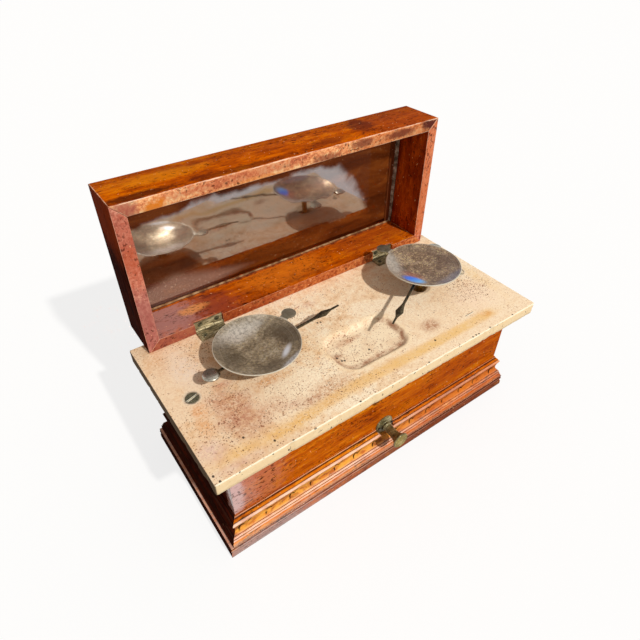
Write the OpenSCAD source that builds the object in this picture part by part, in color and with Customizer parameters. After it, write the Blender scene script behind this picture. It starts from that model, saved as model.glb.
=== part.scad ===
// Box scale for a dispensary: marble top, glazed lid, two pans over a hidden beam.
// Origin at the centre of the underside, X to the right, Y to the back, Z up, millimetres.

/* [Marble top] */
// Length of the slab
marble_l = 380; // [370:1:400]
// Depth of the slab, front to back
marble_d = 176.5; // [172:0.5:190]
// Thickness of the slab
marble_t = 13.3; // [11:0.1:16]
// Bevel along the slab's upper edges
marble_bevel = 1.2; // [0.5:0.1:2]
// Length of the weights recess
recess_l = 83; // [60:1:90]
// Width of the weights recess
recess_w = 52; // [40:1:56]
// Depth of the weights recess
recess_depth = 4; // [2:0.1:5]
// Corner radius of the weights recess
recess_r = 17; // [10:0.5:19]
// Distance of the recess centre to the right of the middle
recess_x = 3; // [-5:0.5:8]
// Distance of the recess centre in front of the middle
recess_y = 30.6; // [26:0.1:33]
// Radius of the holes that the posts pass through
post_hole_r = 8.2; // [6:0.1:10]
// Radius of the dish round each post hole
post_dish_r = 12.5; // [10.5:0.1:14]
// Depth of that dish
post_dish_h = 1.6; // [1:0.1:3]
// Radius of the big screw heads
screw_head_r = 6.5; // [5:0.1:7]
// Radius of the big screw shanks
screw_r = 2.4; // [2:0.1:3]
// Length of the big screws
screw_l = 30; // [22:1:45]
// Depth of the countersunk heads
screw_head_h = 3.9; // [3:0.1:5]

/* [Case] */
// Overhang of the marble past the case at the ends
overhang_l = 17.3; // [14:0.1:24]
// Overhang of the marble past the case at front and back
overhang_d = 16.75; // [15:0.05:20]
// Thickness of the case boards
board_t = 12; // [10:0.5:14]
// Thickness of the bottom board
base_h = 14.5; // [11:0.5:18]
// Height of the base moulding
mould_h = 32; // [27:0.5:38]
// Reach of the plinth past the case at the ends
plinth_out_l = 13.3; // [12:0.1:18]
// Reach of the plinth past the case at front and back
plinth_out_d = 10.8; // [10:0.1:15]
// Reach of the moulding past the case
mould_reach = 10.2; // [8:0.1:12]
// Height of the marble's underside above the table
case_h = 116.2; // [112:0.1:125]

/* [Lid] */
// Reach of the lid past the case at the ends
lid_out_l = 3.2; // [0:0.1:6]
// Depth of the lid, front to back when shut
lid_d = 151.5; // [148:0.5:156]
// Height of the lid when shut
lid_h = 50.3; // [48:0.1:56]
// Thickness of the lid's rails
rail_t = 12.1; // [10:0.1:14]
// Reach of the lip that holds the glass from outside
lip_reach = 4; // [3:0.5:6]
// Thickness of that lip
lip_t = 3.1; // [2:0.1:4]
// Thickness of the glass
glass_t = 2; // [1.8:0.1:3]
// Width and height of the beads inside the glass
bead_w = 3; // [2:0.5:5]
// Gap between the shut lid and the marble
rim_gap = 0.3; // [0.2:0.1:1]
// Lean of the open lid past upright, degrees
lid_lean = 0.75; // [0:0.05:1.2]

/* [Lid hinges] */
// Length of each hinge
hinge_l = 30; // [24:0.5:40]
// Width of each hinge leaf from the pin
leaf_w = 14; // [12:0.5:14.5]
// Thickness of the hinge leaves
leaf_t = 2.2; // [1.6:0.1:2.4]
// Radius of the hinge knuckles
knuckle_r = 2.3; // [1.8:0.05:2.4]
// Radius of the hinge pins
hinge_pin_r = 1.1; // [0.8:0.05:1.3]
// Height of the hinge pin above the marble
hinge_up = 2.55; // [2.4:0.05:3]
// Distance of the hinges' middles in from the ends of the case
hinge_in = 59.7; // [45:0.1:80]
// Distance of the lid's shut back face behind the hinge pin
hinge_inset = 1.9; // [1:0.1:2.1]
// Distance of the hinge pin behind the case
hinge_behind = 2.5; // [1:0.1:4]
// Radius of the hinge screws
hinge_screw_r = 1.3; // [1:0.1:1.6]
// Radius of the hinge screw heads
hinge_screw_head_r = 2.6; // [2:0.1:3]
// Length of the hinge screws in the marble
hinge_screw_l = 26; // [20:1:34]
// Length of the hinge screws in the lid
lid_screw_l = 10; // [7:1:16]

/* [Pans] */
// Radius of the pans
pan_r = 40.4; // [36:0.1:42]
// Height of the pan's rim above its seat
pan_h = 7.6; // [6:0.1:10]
// Thickness of the pan's metal
pan_t = 0.8; // [0.6:0.1:1.2]
// Radius of the flat foot under the pan
pan_foot_r = 9; // [6:0.5:11]
// Radius of the thumb tab on the pan
tab_r = 7.2; // [5:0.1:8]
// Distance of the thumb tab from the middle of the pan
tab_out = 50.4; // [45:0.1:50.5]
// Thickness of the thumb tab
tab_t = 1; // [0.8:0.1:1.4]
// Width of the tab's neck
tab_neck = 8.5; // [5:0.5:10]
// Direction of the left pan's tab, degrees from +X
tab_left = 22.9; // [0:0.1:60]
// Direction of the right pan's tab, degrees from +X
tab_right = 107.3; // [80:0.1:130]

/* [Spiders] */
// Height of the pan seats above the marble when level
seat_up = 20.2; // [18:0.1:26]
// Length of the pointers from the post
pointer_l = 99.5; // [90:0.1:102]
// Middle of the lozenge on the pointer
lozenge_at = 79.6; // [75:0.1:84]
// Start of the lozenge on the pointer
lozenge_from = 66; // [60:0.5:72]
// End of the lozenge on the pointer
lozenge_to = 89; // [86:0.5:94]
// Width of the pointer's tip
tip_w = 1.8; // [0.8:0.1:2.4]
// Width of the lozenge
lozenge_w = 8; // [6:0.1:10]
// Width of the pointer's stem
stem_w = 2.8; // [2:0.1:4]
// Thickness of the pointers
arm_t = 1.4; // [1:0.1:2]
// Distance of the tail disc from the post
tail_at = 49.2; // [49:0.1:54]
// Radius of the tail disc
tail_r = 8; // [6:0.1:9]
// Direction of the left pointer, degrees from +X
pointer_left = 5.3; // [-20:0.1:20]
// Direction of the right pointer, degrees from +X
pointer_right = 209.3; // [165:0.1:210]
// Height of the dome on the tail disc
tail_dome = 1.5; // [0.8:0.1:2]
// Radius of the seat plate under the pan
seat_r = 11; // [9:0.5:14]
// Radius of the hub on the post
hub_r = 6; // [5:0.1:7]
// Height of the hub
hub_h = 9; // [7:0.5:12]

/* [Balance] */
// Middle of the beam, to the right of the case's middle
beam_x = 5.85; // [0:0.05:7]
// Plane of the beam, behind the case's middle
beam_y = 4.2; // [0:0.1:5]
// Height of the knife edges above the table
beam_z = 84; // [80:0.5:90]
// Distance from the middle knife to each end knife
arm = 103.2; // [99:0.1:106]
// Tilt of the beam, left side down, degrees
tilt = 1.7; // [0.5:0.1:2]
// Thickness of the beam
beam_t = 6; // [4:0.5:7]
// Height of the beam above the knife line, in the middle
beam_rise = 14; // [12:0.5:16]
// Depth of the beam below the knife line, at the stops
beam_under = 10; // [9:0.5:11]
// Height of the knives' section
knife_h = 5.2; // [4:0.1:6]
// Radius of the rounded knife edges
edge_r = 0.15; // [0.1:0.01:0.3]
// Radius of the posts
post_r = 3.5; // [2.5:0.1:4.5]
// Radius of the post's top pin
post_pin_r = 2.5; // [1.5:0.1:3]
// Height of the lower stay above the table
stay_z = 32; // [28:0.5:38]
// Thickness of the stay
stay_t = 4; // [3:0.5:5]
// Height of the stay bar
stay_w = 8; // [6:0.5:9]
// Radius of the stay's pins
stay_pin_r = 1.5; // [1.2:0.1:2]
// Distance of the stop blocks from the middle knife
stop_out = 78; // [72:1:84]
// Side of the pedestal's square foot
ped_foot = 40; // [36:1:46]
// Width of the pedestal's cheeks
cheek_w = 18; // [15:1:22]
// Distance of the foot's screws from its middle
foot_screw_out = 15.5; // [14:0.5:17]
// Thickness of the feet on the bottom board
foot_t = 4; // [3:0.5:6]
// Depth of the foot screws in the bottom board
screw_in = 5; // [4:0.5:8]
// Length of the stop blocks along the beam
stop_l = 8; // [6:1:12]
// Width of the stirrups along the beam
stirrup_l = 20; // [18:1:24]
// Depth of the stirrups below the knife line
stirrup_drop = 20; // [17:1:24]
// Height of the stirrups above the knife line
stirrup_rise = 10; // [9:0.5:12]
// Distance of the poise nut from the middle knife
poise_out = 26; // [24:1:30]
// Radius of the poise nut
poise_r = 5; // [3:0.5:5]
// Length of the poise nut
poise_l = 6; // [4:0.5:8]

/* [Arrest] */
// Height of the knob above the table
knob_z = 46.4; // [44:0.1:52]
// Radius of the knob's end
knob_r = 8.9; // [7:0.1:11]
// Length of the knob in front of its rosette
knob_l = 23.2; // [18:0.1:32]
// Radius of the knob's neck
knob_neck_r = 4.6; // [3.8:0.1:6]
// Radius of the rosette
rosette_r = 11; // [10:0.1:13]
// Thickness of the rosette
rosette_t = 3.5; // [2:0.1:4]
// Radius of the knob's shaft
shaft_r = 3; // [2.5:0.1:3.4]
// Lift of the bar for a quarter turn
lift = 3; // [2:0.1:4]
// Least radius of the cam under the bar
cam_r = 11.3; // [10:0.1:13]
// Distance of the lifting pads from the middle knife
pad_out = 58; // [50:1:64]
// Distance of the guide pins from the middle knife
guide_out = 40; // [30:1:46]
// Length of the guide pins above the raised lifter
guide_over = 3; // [1:0.5:6]
// Depth of the guide pins in the bottom board
guide_in = 8; // [5:0.5:10]
// Height of the lifter bar
lifter_h = 6; // [5:0.5:8]
// Width of the lifter bar and the cam
lifter_w = 8; // [6:0.5:9]
// Thickness of the shaft bracket
bracket_t = 5; // [4:0.5:7]
// Distance of the shaft bracket in front of the lifter
bracket_out = 9; // [5:0.5:12]
// Radius of the guide pins
guide_r = 2; // [1.5:0.1:3]

/* [Fits] */
// Gap between moving neighbours
gap = 0.3; // [0.2:0.05:0.5]
// Gap of a shaft or pin in its hole
running = 0.06; // [0.02:0.01:0.1]
// Gap of a screw in its hole
screw_fit = 0.05; // [0.02:0.01:0.1]
// Gap under a part that rests on another
seat_gap = 0.15; // [0.1:0.05:0.3]

/* [Hidden] */
$fn = 64;

case_l = marble_l - 2 * overhang_l;
case_d = marble_d - 2 * overhang_d;
plinth_l = case_l + 2 * plinth_out_l;
plinth_d = case_d + 2 * plinth_out_d;
lid_l = case_l + 2 * lid_out_l;
hinge_y = case_d / 2 + hinge_behind;
hinge_x = case_l / 2 - hinge_in;
fx = case_l / 2;
fy = case_d / 2;
zt = case_h + marble_t;
eps = 0.01;

ya = hinge_y;
za = zt + hinge_up;
lid_y1 = ya + hinge_inset;
lid_y0 = lid_y1 - lid_d;
lid_z = zt + rim_gap;
lid_turn = 90 + lid_lean;

side_screw_x = fx - board_t / 2;
hinge_screw_y = fy - board_t / 2;
stroke = arm * sin(tilt);
reach = arm * cos(tilt);
seat_z = zt + seat_up;
slot_half = beam_t / 2 + 1.2;
cheek_in = max(beam_t, stay_t) / 2 + 3;
cheek_out = cheek_in + 5;
drop = beam_z - stay_z;
shaft_x = 0;
lifter_y1 = beam_y - cheek_out - 1.5;
lifter_y0 = lifter_y1 - lifter_w;
guide_y = (lifter_y0 + lifter_y1) / 2;
lifter_z = knob_z + cam_r + gap + 0.15;
pad_top = beam_z - beam_under - (pad_out + 4) * sin(tilt) - lift - gap;
front_y = -fy;
bracket_y0 = lifter_y0 - bracket_out - bracket_t;

wood = "#8a3c12";
brass = "#7d6a3c";
steel = "#77736a";

// A flat shape in X and Z, from y0 to y1
module slab_y(y0, y1) {
    translate([0, y1, 0]) rotate([90, 0, 0]) linear_extrude(y1 - y0) children();
}

// A flat shape in Y and Z, from x0 to x1
module slab_x(x0, x1) {
    translate([x0, 0, 0]) rotate([90, 0, 90]) linear_extrude(x1 - x0) children();
}

module block(x0, x1, y0, y1, z0, z1) {
    translate([x0, y0, z0]) cube([x1 - x0, y1 - y0, z1 - z0]);
}

module rod_y(x, z, r, y0, y1) {
    translate([x, y1, z]) rotate([90, 0, 0]) cylinder(r = r, h = y1 - y0);
}

module rod_x(y, z, r, x0, x1) {
    translate([x0, y, z]) rotate([0, 90, 0]) cylinder(r = r, h = x1 - x0);
}

// Countersunk slotted screw, head face up at z = 0
module csk_screw(head_r, head_h, r, l, slot_w) {
    difference() {
        union() {
            translate([0, 0, -head_h]) cylinder(r1 = r, r2 = head_r, h = head_h);
            translate([0, 0, -l]) cylinder(r = r, h = l - head_h + eps);
        }
        block(-head_r - 1, head_r + 1, -slot_w / 2, slot_w / 2, -head_h * 0.4, 1);
    }
}

// The hole that such a screw fills
module csk_hole(head_r, head_h, r, l) {
    translate([0, 0, -head_h]) cylinder(r1 = r + screw_fit, r2 = head_r + screw_fit, h = head_h);
    cylinder(r = head_r + screw_fit, h = 3);
    translate([0, 0, -l]) cylinder(r = r + screw_fit, h = l - head_h + eps);
}

// Plan of one mitred side: 0 front, 1 right, 2 back, 3 left
module side_plan(x0, x1, y0, y1, w, side) {
    ix0 = x0 + w;
    ix1 = x1 - w;
    iy0 = y0 + w;
    iy1 = y1 - w;
    if (side == 0) polygon([[x0, y0], [x1, y0], [ix1, iy0], [ix0, iy0]]);
    if (side == 1) polygon([[x1, y0], [x1, y1], [ix1, iy1], [ix1, iy0]]);
    if (side == 2) polygon([[x0, y1], [ix0, iy1], [ix1, iy1], [x1, y1]]);
    if (side == 3) polygon([[x0, y0], [ix0, iy0], [ix0, iy1], [x0, y1]]);
}

// One mitred side of a frame; the profile is [distance inward, height]
module mitred(x0, x1, y0, y1, w, z0, z1, profile, side) {
    intersection() {
        translate([0, 0, z0 - 1]) linear_extrude(z1 - z0 + 2) side_plan(x0, x1, y0, y1, w, side);
        if (side == 0) slab_x(x0, x1) polygon([for (p = profile) [y0 + p[0], p[1]]]);
        if (side == 2) slab_x(x0, x1) polygon([for (p = profile) [y1 - p[0], p[1]]]);
        if (side == 3) slab_y(y0, y1) polygon([for (p = profile) [x0 + p[0], p[1]]]);
        if (side == 1) slab_y(y0, y1) polygon([for (p = profile) [x1 - p[0], p[1]]]);
    }
}

// Base board: insets and heights of its moulded edge
plinth_pts = [[0.6, 0], [0, 0.6], [0, 5.4], [0.6, 6.4], [0.9, 7.2], [0.9, 8.6], [0.2, 9.6],
    [0.2, 10.8], [0.7, 12], [0.7, 13.6], [0.4, 14.2], [0.6, 14.5]];
function plinth_side(half) = let (k = base_h / 14.5, n = len(plinth_pts)) concat(
    [for (p = plinth_pts) [-half + p[0], k * p[1]]],
    [for (i = [n - 1 : -1 : 0]) [half - plinth_pts[i][0], k * plinth_pts[i][1]]]);
module base_board() {
    hx = plinth_l / 2;
    hy = plinth_d / 2;
    color(wood) difference() {
        intersection() {
            slab_x(-hx, hx) polygon(plinth_side(hy));
            slab_y(-hy, hy) polygon(plinth_side(hx));
        }
        for (s = [-1, 1]) translate([beam_x + s * guide_out, guide_y, base_h - guide_in])
            cylinder(r = guide_r, h = guide_in + 1);
        for (p = foot_screws) translate([p[0], p[1], base_h - screw_in])
            cylinder(r = 1.2, h = screw_in + 1);
    }
}

// Moulding section: reach past the case and height above the base board
function arc(d, z, r, a0, a1) = [for (i = [0 : 6]) let (a = a0 + (a1 - a0) * i / 6)
    [d + r * cos(a), z + r * sin(a)]];
mould_pts = concat(
    [[0, 0], [10.2, 0], [10.2, 0.9], [9.2, 1.3]], arc(8.6, 3.1, 1.6, -70, 70),
    [[8.6, 4.9], [8.6, 5.3]], arc(8.2, 6.1, 0.8, -60, 80),
    [[7.8, 7.2], [7.8, 7.7]], arc(7.3, 8.5, 0.8, -60, 80),
    [[6.8, 9.6], [6.8, 10.2], [6.2, 11], [5.2, 12], [4.6, 12.5], [4.1, 13.6], [3.8, 15],
        [3.8, 16.5], [4, 18], [4.4, 19.8], [5, 21.5], [5.6, 22.8], [5.6, 23.3]],
    arc(4.9, 24.6, 1.2, -60, 70),
    [[4.5, 26.2], [4.5, 26.9], [4.1, 27.8], [3.1, 28.6], [2.2, 29.6], [1.6, 29.9], [1.6, 30.3]],
    arc(1, 30.9, 0.6, -60, 80), [[0.7, 32], [0, 32]]);
function mould_profile() = [for (p = mould_pts)
    [mould_reach * (1 - p[0] / 10.2), base_h + mould_h * p[1] / 32]];

module moulding(side) {
    color(wood) mitred(-fx - mould_reach, fx + mould_reach, -fy - mould_reach, fy + mould_reach,
        mould_reach, base_h, base_h + mould_h, mould_profile(), side);
}
module moulding_front() {
    // Notched round the rosette
    color(wood) difference() {
        moulding(0);
        rod_y(shaft_x, knob_z, rosette_r + gap, -fy - mould_reach - 1, -fy + 1);
    }
}
module moulding_right() { moulding(1); }
module moulding_back() { moulding(2); }
module moulding_left() { moulding(3); }

// Case boards: the long ones run through, the short ones fit between them
module board_front() {
    color(wood) difference() {
        block(-fx, fx, -fy, -fy + board_t, base_h, case_h);
        rod_y(shaft_x, knob_z, shaft_r + 0.5, -fy - 1, -fy + board_t + 1);
        for (s = [-1, 1]) rod_y(shaft_x + s * rosette_screw_x, knob_z, 0.9, -fy - 1, -fy + 6);
    }
}
module board_back() {
    color(wood) difference() {
        block(-fx, fx, fy - board_t, fy, base_h, case_h);
        for (s = hinge_screw_places) translate([s, hinge_screw_y, zt + leaf_t - hinge_screw_l])
            cylinder(r = hinge_screw_r, h = hinge_screw_l);
    }
}
module board_side(s) {
    color(wood) difference() {
        translate([s * side_screw_x, 0, 0])
            block(-board_t / 2, board_t / 2, -fy + board_t, fy - board_t, base_h, case_h);
        translate([s * side_screw_x, 0, zt - screw_l]) cylinder(r = screw_r, h = screw_l);
    }
}
module board_left() { board_side(-1); }
module board_right() { board_side(1); }

// Marble slab with its recess and holes
hinge_screw_places = [for (s = [-1, 1], t = [-1, 1]) s * hinge_x + t * hinge_l * 0.3];
module rounded(l, w, r) {
    square([l - 2 * r, w], center = true);
    square([l, w - 2 * r], center = true);
    for (i = [-1, 1], j = [-1, 1]) translate([i * (l / 2 - r), j * (w / 2 - r)]) circle(r);
}
module marble_top() {
    hx = marble_l / 2;
    hy = marble_d / 2;
    b = marble_bevel;
    color("#e2cfa8") difference() {
        intersection() {
            slab_x(-hx, hx) polygon([[-hy, case_h], [hy, case_h], [hy, zt - b], [hy - b, zt],
                [-hy + b, zt], [-hy, zt - b]]);
            slab_y(-hy, hy) polygon([[-hx, case_h], [hx, case_h], [hx, zt - b], [hx - b, zt],
                [-hx + b, zt], [-hx, zt - b]]);
        }
        translate([recess_x, -recess_y, zt - recess_depth]) linear_extrude(recess_depth + 1)
            rounded(recess_l, recess_w, recess_r);
        for (s = [-1, 1]) translate([beam_x + s * reach, beam_y, 0]) {
            translate([0, 0, case_h - 1]) cylinder(r = post_hole_r, h = marble_t + 2);
            translate([0, 0, zt - post_dish_h])
                cylinder(r1 = post_hole_r + 0.8, r2 = post_dish_r, h = post_dish_h + eps);
        }
        for (s = [-1, 1]) translate([s * side_screw_x, 0, zt])
            csk_hole(screw_head_r, screw_head_h, screw_r, screw_l);
        for (s = hinge_screw_places) translate([s, hinge_screw_y, case_h - 1])
            cylinder(r = hinge_screw_r, h = marble_t + 2);
    }
}
module marble_screws() {
    sunk = 0.2;
    top_r = screw_head_r - sunk * (screw_head_r - screw_r) / screw_head_h;
    color(steel) for (s = [-1, 1]) translate([s * side_screw_x, 0, zt - sunk]) rotate([0, 0, 35 * s])
        csk_screw(top_r, screw_head_h - sunk, screw_r, screw_l - sunk, 1.4);
}

// The lid is drawn shut and turned back about the hinge pin
module lid_place() {
    translate([0, ya, za]) rotate([-lid_turn, 0, 0]) translate([0, -ya, -za]) children();
}
function rail_profile() = [[0, lid_z], [rail_t, lid_z], [rail_t, lid_z + lid_h - lip_t],
    [rail_t + lip_reach, lid_z + lid_h - lip_t], [rail_t + lip_reach, lid_z + lid_h], [0, lid_z + lid_h]];
arris = hinge_inset - sqrt(max(0, pow(hinge_up - 0.2, 2) - pow(hinge_up - rim_gap, 2)));
module rail(side) {
    difference() {
        mitred(-lid_l / 2, lid_l / 2, lid_y0, lid_y1, rail_t + lip_reach, lid_z, lid_z + lid_h,
            rail_profile(), side);
        slab_x(-lid_l, lid_l) polygon([[lid_y1 - arris - 1, lid_z - 1],
            [lid_y1 + 1, lid_z + arris + 1], [lid_y1 + 1, lid_z - 1]]);
    }
}
module lid_rail_front() { color(wood) lid_place() rail(0); }
module lid_rail_right() { color(wood) lid_place() rail(1); }
module lid_rail_left() { color(wood) lid_place() rail(3); }
leaf_top = 2 * hinge_up;
module lid_rail_back() {
    color(wood) lid_place() difference() {
        rail(2);
        for (s = [-1, 1]) block(s * hinge_x - hinge_l / 2 - 0.2, s * hinge_x + hinge_l / 2 + 0.2,
            ya - leaf_w - 2, lid_y1 + 1, zt - 1, zt + leaf_top);
        for (s = hinge_screw_places) translate([s, ya - leaf_w * 0.45, zt + leaf_top - 1])
            cylinder(r = hinge_screw_r, h = lid_screw_l - leaf_t + 1);
    }
}
glass_z = lid_z + lid_h - lip_t - glass_t;
module lid_glass() {
    color([0.6, 0.65, 0.65, 0.35]) lid_place()
        block(-lid_l / 2 + rail_t + 0.2, lid_l / 2 - rail_t - 0.2, lid_y0 + rail_t + 0.2,
            lid_y1 - rail_t - 0.2, glass_z, glass_z + glass_t);
}
module bead(side) {
    p = [[0, glass_z - bead_w], [bead_w * 0.45, glass_z - bead_w * 0.85],
        [bead_w * 0.85, glass_z - bead_w * 0.45], [bead_w, glass_z], [0, glass_z]];
    color("#b98a55") lid_place() mitred(-lid_l / 2 + rail_t, lid_l / 2 - rail_t, lid_y0 + rail_t,
        lid_y1 - rail_t, bead_w, glass_z - bead_w, glass_z, p, side);
}
module bead_front() { bead(0); }
module bead_right() { bead(1); }
module bead_back() { bead(2); }
module bead_left() { bead(3); }

// Butt hinges: three knuckles, the outer two on the lower leaf
knuckle_l = hinge_l / 3;
module leaf_screws() {
    for (t = [-1, 1]) translate([t * hinge_l * 0.3, 0, 0])
        csk_hole(hinge_screw_head_r, 1.5, hinge_screw_r, 10);
}
// The outer knuckles, made wider on every side by w
module outer_knuckles(w) {
    for (t = [0, 1]) mirror([t, 0, 0]) block(knuckle_l / 2 + gap / 2 - w, hinge_l / 2 + w,
        ya - knuckle_r - w, ya + 1, zt - 1, zt + leaf_top + 1);
}
module leaf_lower(s) {
    color(brass) translate([s * hinge_x, 0, 0]) difference() {
        union() {
            difference() {
                block(-hinge_l / 2, hinge_l / 2, ya - leaf_w, ya, zt, zt + leaf_t);
                block(-knuckle_l / 2 - gap / 2, knuckle_l / 2 + gap / 2, ya - knuckle_r - gap, ya + 1,
                    zt - 1, zt + leaf_top);
            }
            for (t = [0, 1]) mirror([t, 0, 0])
                rod_x(ya, za, knuckle_r, knuckle_l / 2 + gap / 2, hinge_l / 2);
        }
        rod_x(ya, za, hinge_pin_r, -hinge_l, hinge_l);
        translate([0, hinge_screw_y, zt + leaf_t]) leaf_screws();
    }
}
module hinge_leaf_lower_left() { leaf_lower(-1); }
module hinge_leaf_lower_right() { leaf_lower(1); }
module leaf_upper(s) {
    z0 = zt + leaf_top - leaf_t;
    half = knuckle_l / 2 - gap / 2;
    color(brass) lid_place() translate([s * hinge_x, 0, 0]) difference() {
        union() {
            difference() {
                block(-hinge_l / 2, hinge_l / 2, ya - leaf_w, ya, z0, z0 + leaf_t);
                outer_knuckles(gap);
            }
            rod_x(ya, za, knuckle_r, -half, half);
        }
        rod_x(ya, za, hinge_pin_r + running, -hinge_l, hinge_l);
        translate([0, ya - leaf_w * 0.45, z0]) rotate([180, 0, 0]) leaf_screws();
    }
}
module hinge_leaf_upper_left() { leaf_upper(-1); }
module hinge_leaf_upper_right() { leaf_upper(1); }
module hinge_pins() {
    color(brass) for (s = [-1, 1])
        rod_x(ya, za, hinge_pin_r, s * hinge_x - hinge_l / 2, s * hinge_x + hinge_l / 2);
}
module hinge_screws_marble() {
    color(brass) for (s = hinge_screw_places) translate([s, hinge_screw_y, zt + leaf_t])
        csk_screw(hinge_screw_head_r, 1.5, hinge_screw_r, hinge_screw_l, 0.7);
}
module hinge_screws_lid() {
    color(brass) lid_place() for (s = hinge_screw_places)
        translate([s, ya - leaf_w * 0.45, zt + leaf_top - leaf_t]) rotate([180, 0, 0])
            csk_screw(hinge_screw_head_r, 1.5, hinge_screw_r, lid_screw_l, 0.7);
}

// Pedestal with two cheeks, the beam swinging between them
ped_top = beam_z - 6;
foot_screws = concat([for (i = [-1, 1], j = [-1, 1])
        [beam_x + i * foot_screw_out, beam_y + j * foot_screw_out]],
    [for (i = [-1, 1]) [shaft_x + i * 8, bracket_y0 - 5]],
    [for (i = [-1, 1], j = [-1, 1]) [beam_x + i * stop_out, beam_y + j * 12]]);
module screw_bores() {
    for (p = foot_screws) translate([p[0], p[1], 0]) cylinder(r = 1.2, h = base_h + foot_t + 1);
}
module pedestal() {
    color(brass) difference() {
        union() {
            block(beam_x - ped_foot / 2, beam_x + ped_foot / 2, beam_y - ped_foot / 2,
                beam_y + ped_foot / 2, base_h, base_h + foot_t);
            for (s = [-1, 1]) translate([beam_x, beam_y + s * (cheek_in + cheek_out) / 2, 0])
                block(-cheek_w / 2, cheek_w / 2, -(cheek_out - cheek_in) / 2, (cheek_out - cheek_in) / 2,
                    base_h + foot_t - eps, ped_top);
        }
        rod_y(beam_x, stay_z, stay_pin_r, beam_y - cheek_out - 1, beam_y + cheek_out + 1);
        screw_bores();
    }
}
// A knife's seat: a round bottom about the knife line, and flanks 30 degrees from level
seat_x = (edge_r + running) * sin(30);
seat_y = (edge_r + running) * cos(30);
module fulcrum_bearings() {
    v_out = seat_x + (2.1 + seat_y) / tan(30);
    w = (cheek_out - cheek_in) / 2;
    color("#b9a58c") for (s = [-1, 1]) translate([beam_x, beam_y + s * (cheek_in + w), beam_z]) difference() {
        slab_y(-w, w) polygon([[-6.5, -6], [6.5, -6], [6.5, 2.1], [v_out, 2.1], [seat_x, -seat_y],
            [-seat_x, -seat_y], [-v_out, 2.1], [-6.5, 2.1]]);
        rod_y(0, 0, edge_r + running, -w - 1, w + 1);
    }
}
module pedestal_screws() {
    color(steel) for (p = foot_screws) translate([p[0], p[1], base_h + foot_t]) difference() {
        union() {
            cylinder(r = 2.4, h = 1.8);
            translate([0, 0, -foot_t - screw_in]) cylinder(r = 1.2, h = foot_t + screw_in + eps);
        }
        block(-3, 3, -0.4, 0.4, 1, 3);
    }
}
module stay_pin() {
    color(steel) rod_y(beam_x, stay_z, stay_pin_r, beam_y - cheek_out, beam_y + cheek_out);
}
stop_top = beam_z - beam_under - (stop_out + stop_l / 2) * sin(tilt) - gap;
module stop_blocks() {
    w = stay_w / 2 + stop_out * sin(tilt) + 1.5;
    color(brass) for (s = [-1, 1]) translate([beam_x + s * stop_out, beam_y, 0]) difference() {
        union() {
            block(-5, 5, -16, 16, base_h, base_h + foot_t);
            block(-stop_l / 2, stop_l / 2, -7, 7, base_h + foot_t - eps, stop_top);
        }
        block(-5, 5, -stay_t / 2 - 1, stay_t / 2 + 1, stay_z - w, stay_z + w);
        for (j = [-1, 1]) translate([0, j * 12, 0]) cylinder(r = 1.2, h = 30);
    }
}

// Beam, drawn level about its middle knife and tilted
module beam_place() {
    translate([beam_x, beam_y, beam_z]) rotate([0, -tilt, 0]) children();
}
// A knife's wedge, its flanks touching the round edge about the knife line
module knife_up(s) {
    n = sqrt(1 + 0.58 * 0.58);
    polygon([[edge_r / n, edge_r * 0.58 / n], [s * 0.58 + edge_r * n, -s], [-s * 0.58 - edge_r * n, -s],
        [-edge_r / n, edge_r * 0.58 / n]]);
}
module knife_down(s) { mirror([0, 1, 0]) knife_up(s); }
poise_z = beam_rise - 3;
module beam() {
    e = arm + 6;
    window = arm - 19.2;
    b = beam_under;
    color(brass) beam_place() difference() {
        slab_y(-beam_t / 2, beam_t / 2) difference() {
            polygon([[-e, -8], [-e, 3], [-e + 3, 4], [-16, 5.5], [-14, beam_rise], [14, beam_rise],
                [16, 5.5], [e - 3, 4], [e, 3], [e, -8], [e - 20, -b], [-e + 20, -b]]);
            for (s = [-1, 1]) polygon([[s * 22, -5], [s * 22, 1.5], [s * window, 0.5], [s * window, -5]]);
        }
        slab_y(-beam_t, beam_t) {
            knife_down(knife_h);
            for (s = [-1, 1]) translate([s * arm, 0]) knife_up(knife_h);
        }
        for (s = [-1, 0, 1]) rod_y(s * arm, 0, edge_r, -beam_t, beam_t);
        rod_x(0, poise_z, 1.2, -20, -8);
    }
}
module beam_knives() {
    color(steel) beam_place() {
        slab_y(-cheek_out, cheek_out) knife_down(knife_h);
        rod_y(0, 0, edge_r, -cheek_out, cheek_out);
        for (s = [-1, 1]) translate([s * arm, 0, 0]) {
            slab_y(-9, 9) knife_up(knife_h);
            rod_y(0, 0, edge_r, -9, 9);
        }
    }
}
module poise_stud() {
    color(steel) beam_place() rod_x(0, poise_z, 1.2, -poise_out - poise_l - 6, -8);
}
module poise_nut() {
    color(brass) beam_place() difference() {
        rod_x(0, poise_z, poise_r, -poise_out - poise_l, -poise_out);
        rod_x(0, poise_z, 1.2, -poise_out - poise_l - 1, -poise_out + 1);
    }
}
module stay() {
    e = arm + 5;
    color(steel) translate([beam_x, beam_y, stay_z]) rotate([0, -tilt, 0]) difference() {
        block(-e, e, -stay_t / 2, stay_t / 2, -stay_w / 2, stay_w / 2);
        for (s = [-1, 0, 1]) rod_y(s * arm, 0, stay_pin_r + running, -stay_t, stay_t);
    }
}

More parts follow.
